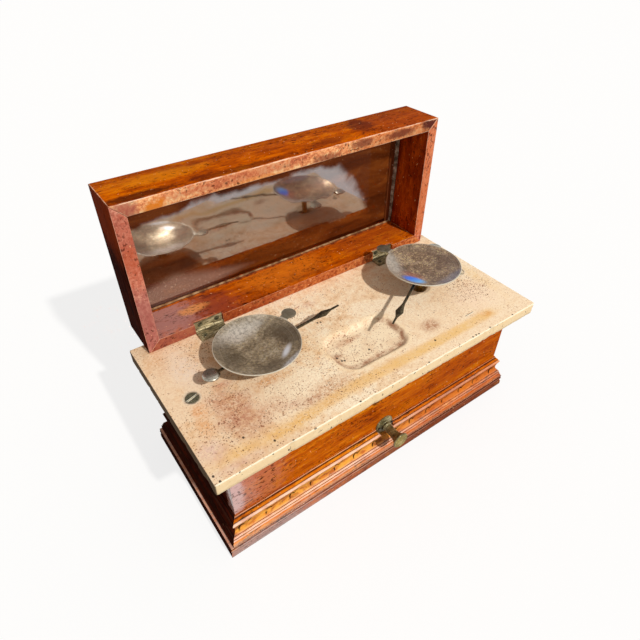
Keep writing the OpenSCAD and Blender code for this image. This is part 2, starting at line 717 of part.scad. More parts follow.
// Hanging parts: origin at the end knife
module end_place(s) {
    translate([beam_x + s * reach, beam_y, beam_z + s * stroke]) children();
}
module stirrup(s) {
    v_low = seat_y - (6.9 - seat_x) * tan(30);
    color(brass) end_place(s) difference() {
        block(-stirrup_l / 2, stirrup_l / 2, -9, 9, -stirrup_drop, stirrup_rise);
        block(-stirrup_l, stirrup_l, -slot_half, slot_half, 6 - stirrup_drop, 6);
        slab_y(-10, 10) polygon([[-seat_x, seat_y], [seat_x, seat_y], [6.9, v_low], [6.9, -12],
            [-6.9, -12], [-6.9, v_low]]);
        rod_y(0, 0, edge_r + running, -10, 10);
        translate([0, 0, 5]) cylinder(r = post_pin_r, h = 6);
    }
}
module stirrup_left() { stirrup(-1); }
module stirrup_right() { stirrup(1); }
module post(s) {
    top = seat_z - beam_z;
    color(brass) end_place(s) {
        translate([0, 0, 6]) cylinder(r = post_pin_r, h = stirrup_rise - 6 + eps);
        translate([0, 0, stirrup_rise]) cylinder(r = post_r, h = top - hub_h - seat_gap - stirrup_rise);
        translate([0, 0, top - hub_h - 1]) cylinder(r = post_pin_r, h = hub_h - 1);
    }
}
module post_left() { post(-1); }
module post_right() { post(1); }
module drop_bar(s) {
    y0 = stay_t / 2 + 0.4;
    color(brass) end_place(s) difference() {
        block(-4, 4, y0, y0 + 3, -drop - 5, -stirrup_drop);
        rod_y(0, -drop, stay_pin_r, -10, 10);
    }
}
module drop_bar_left() { drop_bar(-1); }
module drop_bar_right() { drop_bar(1); }
module end_pin(s) {
    y0 = stay_t / 2 + 0.4;
    color(steel) end_place(s) {
        rod_y(0, -drop, stay_pin_r, -y0 - 1, y0 + 3);
        rod_y(0, -drop, stay_pin_r + 1.2, -y0 - 1.2, -y0);
    }
}
module stay_end_pin_left() { end_pin(-1); }
module stay_end_pin_right() { end_pin(1); }

// Spiders: a pointer and a tail disc on a hub that turns on the post
module spider(s, turn) {
    w = stem_w / 2;
    t = tip_w / 2;
    color(brass) end_place(s) translate([0, 0, seat_z - beam_z]) rotate([0, 0, turn]) difference() {
        union() {
            translate([0, 0, -hub_h]) cylinder(r = hub_r, h = hub_h - arm_t / 2);
            translate([0, 0, -arm_t]) cylinder(r = seat_r, h = arm_t);
            translate([0, 0, -arm_t]) linear_extrude(arm_t) polygon([
                [0, -w], [lozenge_from, -w], [lozenge_at, -lozenge_w / 2], [lozenge_to, -t],
                [pointer_l, -t], [pointer_l, t], [lozenge_to, t], [lozenge_at, lozenge_w / 2],
                [lozenge_from, w], [0, w]]);
            translate([-tail_at, -w, -arm_t]) cube([tail_at, stem_w, arm_t]);
            translate([-tail_at, 0, -arm_t]) cylinder(r = tail_r, h = arm_t);
            translate([-tail_at, 0, -eps]) cylinder(r1 = tail_r - 0.5, r2 = tail_r - 4, h = tail_dome);
        }
        translate([0, 0, -hub_h - 1]) cylinder(r = post_pin_r + running, h = hub_h - 0.6);
    }
}
module spider_left() { spider(-1, pointer_left); }
module spider_right() { spider(1, pointer_right); }

// Pans: shallow round dishes with a thumb tab
dish_h = pan_h - pan_t;
dish_r = (pan_r * pan_r + dish_h * dish_h) / (2 * dish_h);
dish_a = asin(pan_r / dish_r);
foot_a = asin(pan_foot_r / dish_r);
dish_in = dish_r - pan_t;
module pan(s, turn) {
    color("#8f8878") end_place(s) translate([0, 0, seat_z - beam_z + seat_gap]) {
        rotate_extrude() polygon(concat(
            [[0, 0], [pan_foot_r, 0]],
            [for (i = [0 : 14]) let (a = foot_a + (dish_a - foot_a) * i / 14)
                [dish_r * sin(a), dish_r * (1 - cos(a))]],
            [for (i = [16 : -1 : 0]) let (a = dish_a * i / 16)
                [dish_in * sin(a), dish_r - dish_in * cos(a)]]));
        rotate([0, 0, turn]) translate([0, 0, pan_h - 0.5 - tab_t]) {
            translate([pan_r - 1.2, -tab_neck / 2, 0]) cube([tab_out - pan_r + 1.2, tab_neck, tab_t]);
            translate([tab_out, 0, 0]) cylinder(r = tab_r, h = tab_t);
        }
    }
}
module pan_left() { pan(-1, tab_left); }
module pan_right() { pan(1, tab_right); }

// Arrest: knob, shaft and cam raise a bar under the beam
rosette_screw_x = rosette_r * 0.75;
knob_y1 = front_y - rosette_t - gap;
knob_y0 = knob_y1 - knob_l;
shaft_end = beam_y - cheek_out - 0.8;
module rosette() {
    t = rosette_t;
    r = rosette_r;
    color(brass) difference() {
        translate([shaft_x, front_y, knob_z]) rotate([90, 0, 0]) rotate_extrude() polygon([
            [0, 0], [r, 0], [r, t * 0.25], [r - 0.5, t * 0.45], [r - 1.6, t * 0.62], [r - 3.2, t * 0.76],
            [r - 4.6, t * 0.82], [r - 5, t], [0, t]]);
        rod_y(shaft_x, knob_z, shaft_r + running, front_y - t - 1, front_y + 1);
        for (s = [-1, 1]) rod_y(shaft_x + s * rosette_screw_x, knob_z, 0.9, front_y - t - 1, front_y + 1);
    }
}
module rosette_screws() {
    color(steel) for (s = [-1, 1]) translate([shaft_x + s * rosette_screw_x, 0, 0]) {
        rod_y(0, knob_z, 0.9, front_y - rosette_t, front_y + 6);
        rod_y(0, knob_z, 1.6, front_y - rosette_t, front_y - rosette_t * 0.82);
    }
}
module knob() {
    n = knob_neck_r;
    l = knob_l;
    color(brass) difference() {
        translate([shaft_x, knob_y1, knob_z]) rotate([90, 0, 0]) rotate_extrude() polygon([
            [0, 0], [n + 1.2, 0], [n + 1.2, 1.6], [n, 2.6], [n, l * 0.55], [n + 0.7, l * 0.68],
            [n + 2.2, l * 0.8], [knob_r - 0.4, l * 0.88], [knob_r, l * 0.91], [knob_r, l * 0.95],
            [knob_r - 0.6, l * 0.975], [0, l]]);
        rod_y(shaft_x, knob_z, shaft_r, knob_y0 + knob_l * 0.25, knob_y1 + 1);
    }
}
module shaft() {
    color(steel) rod_y(shaft_x, knob_z, shaft_r, knob_y0 + knob_l * 0.25, shaft_end);
}
module cam() {
    k = lift / 90;
    color(brass) difference() {
        translate([shaft_x, 0, knob_z]) slab_y(lifter_y0, lifter_y1) polygon(concat(
            [for (a = [-30 : 5 : 120]) (cam_r + k * a) * [-sin(a), cos(a)]],
            [for (a = [140 : 20 : 310]) (cam_r - 3.5) * [-sin(a), cos(a)]]));
        rod_y(shaft_x, knob_z, shaft_r, lifter_y0 - 1, lifter_y1 + 1);
    }
}
module shaft_bracket() {
    color(brass) difference() {
        union() {
            block(shaft_x - 12, shaft_x + 12, bracket_y0 - 9, bracket_y0 + bracket_t,
                base_h, base_h + foot_t);
            block(shaft_x - 8, shaft_x + 8, bracket_y0, bracket_y0 + bracket_t,
                base_h + foot_t - eps, knob_z);
            rod_y(shaft_x, knob_z, 8, bracket_y0, bracket_y0 + bracket_t);
        }
        rod_y(shaft_x, knob_z, shaft_r + running, bracket_y0 - 1, bracket_y0 + bracket_t + 1);
        screw_bores();
    }
}
module lifter() {
    color(steel) difference() {
        union() {
            block(beam_x - pad_out - 4, beam_x + pad_out + 4, lifter_y0, lifter_y1,
                lifter_z, lifter_z + lifter_h);
            for (s = [-1, 1]) translate([beam_x + s * pad_out, 0, 0])
                block(-4, 4, lifter_y0, beam_y + beam_t / 2, lifter_z, pad_top);
        }
        for (s = [-1, 1]) translate([beam_x + s * guide_out, guide_y, lifter_z - 1])
            cylinder(r = guide_r + running, h = lifter_h + 2);
    }
}
module guide_pins() {
    color(steel) for (s = [-1, 1]) translate([beam_x + s * guide_out, guide_y, base_h - guide_in])
        cylinder(r = guide_r, h = lifter_z + lifter_h + lift + guide_over - base_h + guide_in);
}

base_board();
board_front();
board_back();
board_left();
board_right();
moulding_front();
moulding_back();
moulding_left();
moulding_right();
marble_top();
marble_screws();
lid_rail_front();
lid_rail_back();
lid_rail_left();
lid_rail_right();
lid_glass();
bead_front();
bead_back();
bead_left();
bead_right();
hinge_leaf_lower_left();
hinge_leaf_lower_right();
hinge_leaf_upper_left();
hinge_leaf_upper_right();
hinge_pins();
hinge_screws_marble();
hinge_screws_lid();
pedestal();
fulcrum_bearings();
pedestal_screws();
stay_pin();
stop_blocks();
beam();
beam_knives();
poise_stud();
poise_nut();
stay();
stirrup_left();
post_left();
drop_bar_left();
stay_end_pin_left();
stirrup_right();
post_right();
drop_bar_right();
stay_end_pin_right();
spider_left();
spider_right();
pan_left();
pan_right();
rosette();
rosette_screws();
knob();
shaft();
cam();
shaft_bracket();
lifter();
guide_pins();
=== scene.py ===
import bpy, bmesh
from math import sin, cos, pi, radians, sqrt, hypot
from mathutils import Vector, Matrix, noise


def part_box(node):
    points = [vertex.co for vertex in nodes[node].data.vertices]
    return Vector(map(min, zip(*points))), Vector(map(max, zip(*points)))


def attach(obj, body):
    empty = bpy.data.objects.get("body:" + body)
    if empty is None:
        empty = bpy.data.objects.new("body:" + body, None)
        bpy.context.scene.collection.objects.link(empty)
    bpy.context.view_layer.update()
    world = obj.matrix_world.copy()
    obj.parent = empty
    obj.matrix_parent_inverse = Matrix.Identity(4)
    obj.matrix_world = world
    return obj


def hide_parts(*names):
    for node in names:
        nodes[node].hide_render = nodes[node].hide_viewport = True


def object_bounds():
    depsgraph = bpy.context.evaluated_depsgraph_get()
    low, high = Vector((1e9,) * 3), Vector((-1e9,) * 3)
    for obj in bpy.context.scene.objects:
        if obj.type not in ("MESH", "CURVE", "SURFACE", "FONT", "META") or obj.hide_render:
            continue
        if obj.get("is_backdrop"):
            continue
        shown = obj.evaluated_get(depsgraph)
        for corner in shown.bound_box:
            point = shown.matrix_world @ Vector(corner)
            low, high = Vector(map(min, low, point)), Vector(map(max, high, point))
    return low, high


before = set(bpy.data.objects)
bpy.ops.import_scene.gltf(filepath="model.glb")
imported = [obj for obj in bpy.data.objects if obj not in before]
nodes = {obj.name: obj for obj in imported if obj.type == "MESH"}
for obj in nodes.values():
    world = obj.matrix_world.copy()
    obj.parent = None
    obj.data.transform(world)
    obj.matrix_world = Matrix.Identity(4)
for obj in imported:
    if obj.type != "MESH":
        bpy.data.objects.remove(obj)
cadLow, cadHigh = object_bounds()
mm = 0.001

# where the two posts stand, and the top of the slab
posts = {"left": Vector((-0.097305, 0.0042)), "right": Vector((0.109005, 0.0042))}
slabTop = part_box("marble_top")[1].z

# small helpers for material nodes, which add to the node tree on the bench
bench = {"tree": None}


def tint(r, g, b):
    # a colour as seen on screen (0-255) to the linear one that the shader takes
    lin = [(c / 255 / 12.92) if c < 11 else ((c / 255 + 0.055) / 1.055) ** 2.4 for c in (r, g, b)]
    return (*lin, 1)


def startFinish(name):
    mat = bpy.data.materials.new(name)
    mat.use_nodes = True
    bench["tree"] = mat.node_tree
    return mat, mat.node_tree.nodes["Principled BSDF"]


def join(value, socket):
    # a link from a node's output, or a fixed value
    if isinstance(value, bpy.types.NodeSocket):
        bench["tree"].links.new(value, socket)
    else:
        socket.default_value = value


def put(kind, inputs, **settings):
    node = bench["tree"].nodes.new(kind)
    for key, value in settings.items():
        setattr(node, key, value)
    for key, value in inputs.items():
        join(value, node.inputs[key])
    return node


def objectCoords():
    return put("ShaderNodeTexCoord", {}).outputs["Object"]


def attributeOf(name):
    return put("ShaderNodeAttribute", {}, attribute_name=name).outputs["Fac"]


def partsOf(vec):
    return put("ShaderNodeSeparateXYZ", {"Vector": vec}).outputs


def madeOf(x, y, z):
    return put("ShaderNodeCombineXYZ", {0: x, 1: y, 2: z}).outputs[0]


def stretched(vec, scale, shift=(0, 0, 0)):
    return put("ShaderNodeMapping", {"Vector": vec, "Location": shift, "Scale": scale}).outputs[0]


def noiseAt(vec, scale, detail=3, rough=0.5, twist=0):
    return put("ShaderNodeTexNoise", {"Vector": vec, "Scale": scale, "Detail": detail, "Roughness": rough,
                                      "Distortion": twist}).outputs[0]


def grainAt(vec, stretch, detail=3, rough=0.5, twist=0):
    # noise drawn out by other amounts along and across
    return noiseAt(stretched(vec, stretch), 1, detail, rough, twist)


def remap(value, a, b, c=0, d=1, soft=True):
    return put("ShaderNodeMapRange", {"Value": value, "From Min": a, "From Max": b, "To Min": c, "To Max": d},
               interpolation_type="SMOOTHSTEP" if soft else "LINEAR").outputs[0]


def calc(op, a, b=0.0, clamp=False):
    return put("ShaderNodeMath", {0: a, 1: b}, operation=op, use_clamp=clamp).outputs[0]


def inTurn(op, first, others):
    for other in others:
        first = calc(op, first, other)
    return first


def times(first, *others):
    return inTurn("MULTIPLY", first, others)


def plus(first, *others):
    return inTurn("ADD", first, others)


def minus(first, *others):
    return inTurn("SUBTRACT", first, others)


def larger(first, *others):
    return inTurn("MAXIMUM", first, others)


def wander(vec, amount, *noiseSettings):
    # uneven to both sides of nought
    return times(minus(noiseAt(vec, *noiseSettings), 0.5), amount)


def blend(amount, under, over):
    return put("ShaderNodeMix", {0: amount, 6: under, 7: over}, data_type="RGBA", blend_type="MIX").outputs[2]


def paint(under, amount, colour):
    # one more coat of a colour, given as seen on screen
    return blend(amount, under, tint(*colour))


def ramp(fac, stops):
    node = put("ShaderNodeValToRGB", {"Fac": fac})
    points = node.color_ramp.elements
    while len(points) < len(stops):
        points.new(0.5)
    for point, (place, colour) in zip(points, stops):
        point.position = place
        point.color = colour
    return node.outputs[0]


def toneRamp(fac, places, colours):
    return ramp(fac, [(place, tint(*colour)) for place, colour in zip(places, colours)])


def levelRamp(fac, stops):
    # from place to value, as grey levels
    return ramp(fac, [(place, (v, v, v, 1)) for place, v in stops])


def spotAt(vec, at, size, turn=0):
    # distance from a place, 1 at the border of an ellipse of these half sizes
    inputs = {"Vector": vec, "Location": (*at, 0)[:3], "Rotation": (0, 0, radians(turn)),
              "Scale": (*size, 10)[:3]}
    away = put("ShaderNodeMapping", inputs, vector_type="TEXTURE").outputs[0]
    return put("ShaderNodeVectorMath", {0: away}, operation="LENGTH").outputs["Value"]


def strokeAt(vec, a, b, wide):
    # 1 on a straight stroke from a to b, 0 beyond its width
    a, b = Vector((*a, 0)), Vector((*b, 0))
    along = b - a
    off = put("ShaderNodeVectorMath", {0: vec, 1: a}, operation="SUBTRACT").outputs[0]
    part = put("ShaderNodeVectorMath", {0: off, 1: along / along.length_squared}, operation="DOT_PRODUCT")
    inside = calc("ADD", part.outputs["Value"], 0.0, True)
    near = put("ShaderNodeVectorMath", {0: along, 3: inside}, operation="SCALE").outputs[0]
    gap = put("ShaderNodeVectorMath", {0: off, 1: near}, operation="DISTANCE").outputs["Value"]
    return remap(gap, wide, wide * 0.35)


def bumped(shader, height, strength, distance):
    bump = put("ShaderNodeBump", {"Height": height, "Strength": strength, "Distance": distance}).outputs[0]
    join(bump, shader.inputs["Normal"])
    return bump


def feed(shader, **values):
    names = {"colour": "Base Color", "rough": "Roughness", "metal": "Metallic", "spec": "Specular IOR Level",
             "coat": "Coat Weight", "coatRough": "Coat Roughness", "coatIor": "Coat IOR", "ior": "IOR",
             "coatNormal": "Coat Normal", "clear": "Transmission Weight"}
    for key, value in values.items():
        join(value, shader.inputs[names[key]])


# small helpers for meshes
def toObject(bm, name, smoothAngle=35):
    mesh = bpy.data.meshes.new(name)
    for face in bm.faces:
        face.smooth = True
    bm.to_mesh(mesh)
    bm.free()
    mesh.set_sharp_from_angle(angle=radians(smoothAngle))
    obj = bpy.data.objects.new(name, mesh)
    bpy.context.scene.collection.objects.link(obj)
    return obj


def finishPiece(obj, body, slot, material, *replaced):
    obj.data.materials.clear()
    obj.data.materials.append(material)
    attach(obj, body)
    if replaced:
        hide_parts(*replaced)
    return obj


def secondFinish(obj, material, chosen):
    # another finish on the faces that are chosen
    obj.data.materials.append(material)
    for poly in obj.data.polygons:
        if chosen(poly):
            poly.material_index = 1


def recoat(material, *names):
    # a better finish on CAD nodes that keep their shape
    for name in names:
        obj = nodes[name]
        if not obj.data.materials:
            obj.data.materials.append(material)
        for slot in obj.material_slots:
            slot.material = material


def vertsOf(made):
    return [g for g in made if isinstance(g, bmesh.types.BMVert)]


def edgesOf(made):
    return [g for g in made if isinstance(g, bmesh.types.BMEdge)]


def arrisesOf(bm, least):
    return [e for e in bm.edges if len(e.link_faces) == 2 and e.calc_face_angle(0) > radians(least)]


def move(bm, vec):
    bmesh.ops.translate(bm, vec=vec, verts=bm.verts)


def turn(bm, degrees, axis="Z", cent=(0, 0, 0), verts=None):
    matrix = Matrix.Rotation(radians(degrees), 3, axis)
    bmesh.ops.rotate(bm, cent=cent, matrix=matrix, verts=verts or bm.verts)


def cutFlat(bm):
    # faces of many corners into triangles
    bmesh.ops.triangulate(bm, faces=[f for f in bm.faces if len(f.verts) > 4])


def softenedMesh(node, width, least=30):
    # a merged copy of a CAD node with its sharp arrises rounded over
    bm = bmesh.new()
    bm.from_mesh(nodes[node].data)
    bmesh.ops.remove_doubles(bm, verts=bm.verts, dist=2e-6)
    bmesh.ops.dissolve_limit(bm, angle_limit=radians(0.6), verts=bm.verts, edges=bm.edges, delimit={"NORMAL"})
    arris = bm.faces.layers.float.new("arris")
    made = bmesh.ops.bevel(bm, geom=arrisesOf(bm, least), offset=width, offset_type="OFFSET", affect="EDGES",
                           segments=2, profile=0.5, material=-1, clamp_overlap=True)
    for face in made["faces"]:
        face[arris] = 1.0
    cutFlat(bm)
    return bm


def spunMesh(profile, steps):
    # a closed or axis-to-axis profile of (radius, height), spun about Z
    bm = bmesh.new()
    verts = [bm.verts.new((r, 0, h)) for r, h in profile]
    edges = [bm.edges.new(pair) for pair in zip(verts, verts[1:])]
    if profile[0][0] > 1e-6:
        edges.append(bm.edges.new((verts[-1], verts[0])))
    bmesh.ops.spin(bm, geom=verts + edges, cent=(0, 0, 0), axis=(0, 0, 1), angle=2 * pi, steps=steps,
                   use_merge=True)
    bmesh.ops.remove_doubles(bm, verts=bm.verts, dist=1e-6)
    bmesh.ops.recalc_face_normals(bm, faces=bm.faces)
    return bm


def plateMesh(outline, low, thick, rim):
    # a flat plate of this outline with its rims softened
    bm = bmesh.new()
    face = bm.faces.new([bm.verts.new((x, y, low)) for x, y in outline])
    grown = bmesh.ops.extrude_face_region(bm, geom=[face])["geom"]
    bmesh.ops.translate(bm, vec=(0, 0, thick), verts=vertsOf(grown))
    bmesh.ops.recalc_face_normals(bm, faces=bm.faces)
    rims = arrisesOf(bm, 60)
    bmesh.ops.bevel(bm, geom=rims, offset=rim, affect="EDGES", segments=2, profile=0.5, material=-1)
    return bm


def addMesh(bm, other):
    mesh = bpy.data.meshes.new("part")
    other.to_mesh(mesh)
    other.free()
    bm.from_mesh(mesh)
    bpy.data.meshes.remove(mesh)


def lumpy(bm, amount, scale, seed):
    # hand-worn unevenness, inwards only
    bm.normal_update()
    shift = Vector((seed, 0, 0))
    moves = [(v, v.normal * -amount * max(0, 0.5 + noise.noise(v.co * scale + shift))) for v in bm.verts]
    for vert, away in moves:
        vert.co += away


def inMetres(pair):
    return tuple(v * mm for v in pair)


def smooth01(t):
    t = min(1.0, max(0.0, t))
    return t * t * (3 - 2 * t)


# camera, light, floor
view = {"place": (-0.2512, -0.2988, 0.4662), "yaw": 36.41, "pitch": 40.28, "roll": -0.92, "lens": 28.665}


def aimCamera():
    yaw, pitch, roll = (radians(view[k]) for k in ("yaw", "pitch", "roll"))
    ahead = Vector((sin(yaw) * cos(pitch), cos(yaw) * cos(pitch), -sin(pitch)))
    right = Vector((cos(yaw), -sin(yaw), 0))
    down = ahead.cross(right)
    right, down = right * cos(roll) + down * sin(roll), down * cos(roll) - right * sin(roll)
    lens = bpy.data.cameras.new("Camera")
    lens.sensor_width = 36
    lens.lens = view["lens"]
    lens.clip_start, lens.clip_end = 0.01, 60
    camera = bpy.data.objects.new("Camera", lens)
    turned = Matrix((right, -down, -ahead)).transposed()
    camera.matrix_world = Matrix.Translation(view["place"]) @ turned.to_4x4()
    bpy.context.scene.collection.objects.link(camera)
    bpy.context.scene.camera = camera


lighting = {"toward": (-0.18, 1.03, -1.0), "sun": 2.75, "sunAngle": 2.0, "sunColour": (1.0, 0.97, 0.92),
            "sky": 0.42, "skyColour": (1.0, 0.94, 0.86, 1), "table": 9, "tableBounce": (0.30, 0.28, 0.26, 1),
            "tableGlow": 0.78}


def seenDirectly():
    # 1 for camera, mirror and see-through rays
    path = put("ShaderNodeLightPath", {}).outputs
    return larger(path["Is Camera Ray"], path["Is Glossy Ray"], path["Is Transmission Ray"])


def hangSun():
    sun = bpy.data.lights.new("KeyLight", "SUN")
    sun.energy = lighting["sun"]
    sun.angle = radians(lighting["sunAngle"])
    sun.color = lighting["sunColour"]
    lamp = bpy.data.objects.new("KeyLight", sun)
    lamp.rotation_euler = Vector(lighting["toward"]).to_track_quat("-Z", "Y").to_euler()
    bpy.context.scene.collection.objects.link(lamp)


def lightRoom():
    # white to the eye and in mirrors, a dimmer warm sky as a source of light
    world = bpy.data.worlds.new("Room")
    bpy.context.scene.world = world
    world.use_nodes = True
    bench["tree"] = world.node_tree
    back = world.node_tree.nodes["Background"]
    join(blend(seenDirectly(), lighting["skyColour"], (1, 1, 1, 1)), back.inputs["Color"])
    join(remap(seenDirectly(), 0, 1, lighting["sky"], 1, soft=False), back.inputs["Strength"])


def layTable():
    bm = bmesh.new()
    bmesh.ops.create_grid(bm, x_segments=2, y_segments=2, size=lighting["table"])
    floor = toObject(bm, "Floor")
    mat, shader = startFinish("paleTable")
    # pale to the eye, darker as a source of bounced light
    pale = blend(noiseAt(objectCoords(), 3), (0.94, 0.94, 0.94, 1), (0.96, 0.96, 0.96, 1))
    feed(shader, colour=blend(seenDirectly(), lighting["tableBounce"], pale), rough=0.9, spec=0.0)
    glow = put("ShaderNodeEmission", {"Color": (1, 1, 1, 1), "Strength": 1.0}).outputs[0]
    lift = times(seenDirectly(), lighting["tableGlow"])
    both = put("ShaderNodeMixShader", {0: lift, 1: shader.outputs[0], 2: glow}).outputs[0]
    join(both, mat.node_tree.nodes["Material Output"].inputs["Surface"])
    floor.data.materials.append(mat)
    floor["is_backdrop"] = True


# wood: gold, amber, mid, brown and dark of each kind; the rim kinds are paler and pinker, a painted sheen,
# and the shade kind is dark, painted shade for faces on the left
woodTones = {
    "lid": ((218, 118, 4), (192, 86, 0), (160, 66, 2), (106, 38, 8), (42, 14, 5)),
    "wall": ((198, 86, 16), (162, 60, 10), (134, 43, 8), (94, 25, 6), (40, 10, 5)),
    "rim": ((255, 218, 166), (252, 180, 124), (224, 138, 92), (160, 86, 58), (84, 38, 26)),
    "rimTall": ((236, 174, 150), (208, 136, 118), (182, 104, 90), (132, 68, 58), (76, 34, 28)),
    "rimLow": ((206, 130, 76), (180, 96, 50), (152, 70, 36), (106, 46, 26), (62, 26, 18)),
    "case": ((228, 138, 24), (204, 104, 10), (184, 84, 8), (132, 52, 10), (48, 18, 8)),
    "shade": ((84, 30, 14), (68, 22, 10), (50, 14, 8), (32, 8, 5), (16, 5, 4))}
# the pale colour of worn arrises, which also carries a painted highlight
paleArris = (246, 206, 174)


def onFace(axis, level, *rows):
    # patches of a flat face, given in its own two directions in millimetres, as places in space
    full = lambda pair, value: (*inMetres(pair)[:axis], value, *inMetres(pair)[axis:])
    return [(full(at, level), full(size, 20 * mm), *rest) for at, size, *rest in rows]


def grainCoords(axis, seed):
    # a vector whose X runs along the grain
    xyz = partsOf(objectCoords())
    order = {"X": (0, 1, 2), "Y": (1, 0, 2), "Z": (2, 0, 1)}[axis]
    shift = (seed * 0.37, seed * 0.11, seed * 0.23)
    return stretched(madeOf(*(xyz[k] for k in order)), (1, 1, 1), shift), xyz


def grainDirt(vec, kind):
    # dirt in the open grain, round specks and blotches, thicker in places
    dashes = (230, 360, 360) if kind.startswith("rim") else (170, 520, 520)
    least = 0.535 if kind == "case" else 0.56
    dash = remap(grainAt(vec, dashes, 3, 0.6), least, least + 0.1)
    speck = remap(noiseAt(vec, 370, 2, 0.5), 0.64, 0.70)
    blotch = remap(grainAt(vec, (110, 190, 190), 5, 0.72), 0.56, 0.66)
    where = remap(grainAt(vec, (26, 60, 60), 3, 0.6), 0.38, 0.62, 0.12, 1)
    return times(larger(dash, speck), where), times(blotch, where)


def mouldingLightAndWear(colour, vec, xyz, mottle, bands, gold):
    # by height: gold on the swell, a painted sunlit sheen; pale wear with a painted highlight on the high
    # members; dark lines in the quirks, painted shade with dirt
    height = remap(plus(xyz[2], wander(vec, 0.0006, 60, 3)), bands["low"], bands["high"], soft=False)
    golden = times(levelRamp(height, bands["gold"]), remap(mottle, 0.38, 0.58, 0.1, 0.8))
    colour = blend(golden, colour, gold)
    wearAndHighlight = times(levelRamp(height, bands["wearAndHighlight"]), remap(xyz[0], -0.06, 0.10, 1, 0.35))
    broken = remap(grainAt(vec, (70, 300, 300), 4, 0.7), 0.3, 0.56, 0.45, 1)
    colour = paint(colour, times(wearAndHighlight, broken), bands["wornAndHighlight"])
    return paint(colour, levelRamp(height, bands["shadeAndDirt"]), bands["grimeAndShade"])


def gougeCuts(vec, xyz, ticks):
    # shallow cuts of a gouge, repeated along the hollow
    sway = times(grainAt(vec, (26, 0, 0), 1), 0.016)
    run = minus(plus(xyz[ticks["axis"]], sway), ticks["first"])
    flat = madeOf(calc("FLOORED_MODULO", run, ticks["pitch"]), xyz[2], 0.0)
    cuts = larger(*(strokeAt(flat, (x0 * mm, z0 * mm), (x1 * mm, z1 * mm), wide * mm)
                    for x0, z0, x1, z1, wide in ticks["cuts"]))
    return times(cuts, remap(noiseAt(vec, 90, 4, 0.7), 0.40, 0.5, 0.2, 1))


def polish(place, vec, streak, gloss, thin):
    # thin, with thicker places that mirror the sky
    coat = times(streak, thin)
    for at, size, depth in gloss:
        ragged = plus(spotAt(place, at, size), wander(vec, 2.2, 300, 4, 0.8))
        coat = larger(coat, times(remap(ragged, 1.2, 0.5), depth))
    return coat


def woodFinish(name, kind, axis, seed, patches=(), gloss=(), bands=None, ticks=None, grain=1.0,
               wornAndHighlight=paleArris):
    mat, shader = startFinish(name)
    gold, amber, mid, brown, dark = (tint(*tone) for tone in woodTones[kind])
    rim, shade = kind.startswith("rim"), kind == "shade"
    vec, xyz = grainCoords(axis, seed)
    place = objectCoords()
    mottle = grainAt(vec, (70, 150, 150), 5, 0.68, 0.4)
    streak = grainAt(vec, (24, 300, 300), 4, 0.62)
    tone = plus(times(grainAt(vec, (9, 40, 40), 4, 0.6, 0.8), 0.42), times(mottle, 0.36 * grain),
                times(streak, 0.58 - 0.36 * grain))
    if rim:
        tone = plus(times(tone, 0.5), times(noiseAt(vec, 290, 5, 0.8), 0.5))
    stops = (0.40, 0.455, 0.505, 0.56, 0.68) if rim else (0.38, 0.45, 0.52, 0.60, 0.72)
    colour = ramp(tone, list(zip(stops, (brown, mid, amber, gold, amber))))
    for at, size, depth, patch in patches:
        ragged = plus(spotAt(place, at, size), times(noiseAt(vec, 130, 5, 0.75), 1.5))
        colour = paint(colour, times(remap(ragged, 1.85, 1.2), depth), patch)
    flecks, blotches = grainDirt(vec, kind)
    colour = blend(times(blotches, 0.75), colour, brown)
    colour = blend(times(flecks, 0.85), colour, dark)
    scratch = remap(grainAt(vec, (300, 420, 420), 2, 0.5), 0.70, 0.74)
    colour = paint(colour, times(scratch, 0.12 if shade else 0.6), (246, 190, 140))
    if bands:
        # the swell's gold is a painted sunlit sheen, brighter to the left
        sunny = gold if shade else blend(remap(xyz[0], -0.05, 0.08), tint(244, 176, 62), tint(204, 112, 42))
        colour = mouldingLightAndWear(colour, vec, xyz, mottle, bands, sunny)
    height = plus(minus(times(noiseAt(vec, 330, 3, 0.6), 0.5), times(flecks, 0.7)), times(mottle, 0.5))
    if ticks:
        cuts = gougeCuts(vec, xyz, ticks)
        colour = paint(colour, times(cuts, 0.95), (42, 16, 6))
        height = minus(height, times(cuts, 2.5))
    # rubbed arrises, pale where the polish has gone, together with a painted highlight along the edges
    rubbedAndLit = remap(grainAt(vec, (50, 120, 120), 4, 0.7), 0.40, 0.62, 0.1, 0.9)
    colour = paint(colour, times(attributeOf("arris"), rubbedAndLit), wornAndHighlight)
    coat = polish(place, vec, streak, gloss, 0.02 if shade else 0.045)
    rough = remap(plus(tone, times(flecks, 0.4)), 0.3, 0.9, 0.34, 0.62)
    feed(shader, colour=colour, spec=0.0, coat=coat, coatRough=0.14, rough=rough)
    bumped(shader, height, 0.4, 0.0003)
    return mat


# the lid: levels of its faces in metres; patches are middle, half size, strength and colour, in millimetres
# the left side's arris colour is darker: painted shade
lidWood = {"soft": 0.8 * mm, "rimFace": 0.0775, "rim": 0.0717, "top": 0.2815, "inside": 0.1435,
           "side": -0.176, "arrisInPaintedShade": (150, 96, 72)}


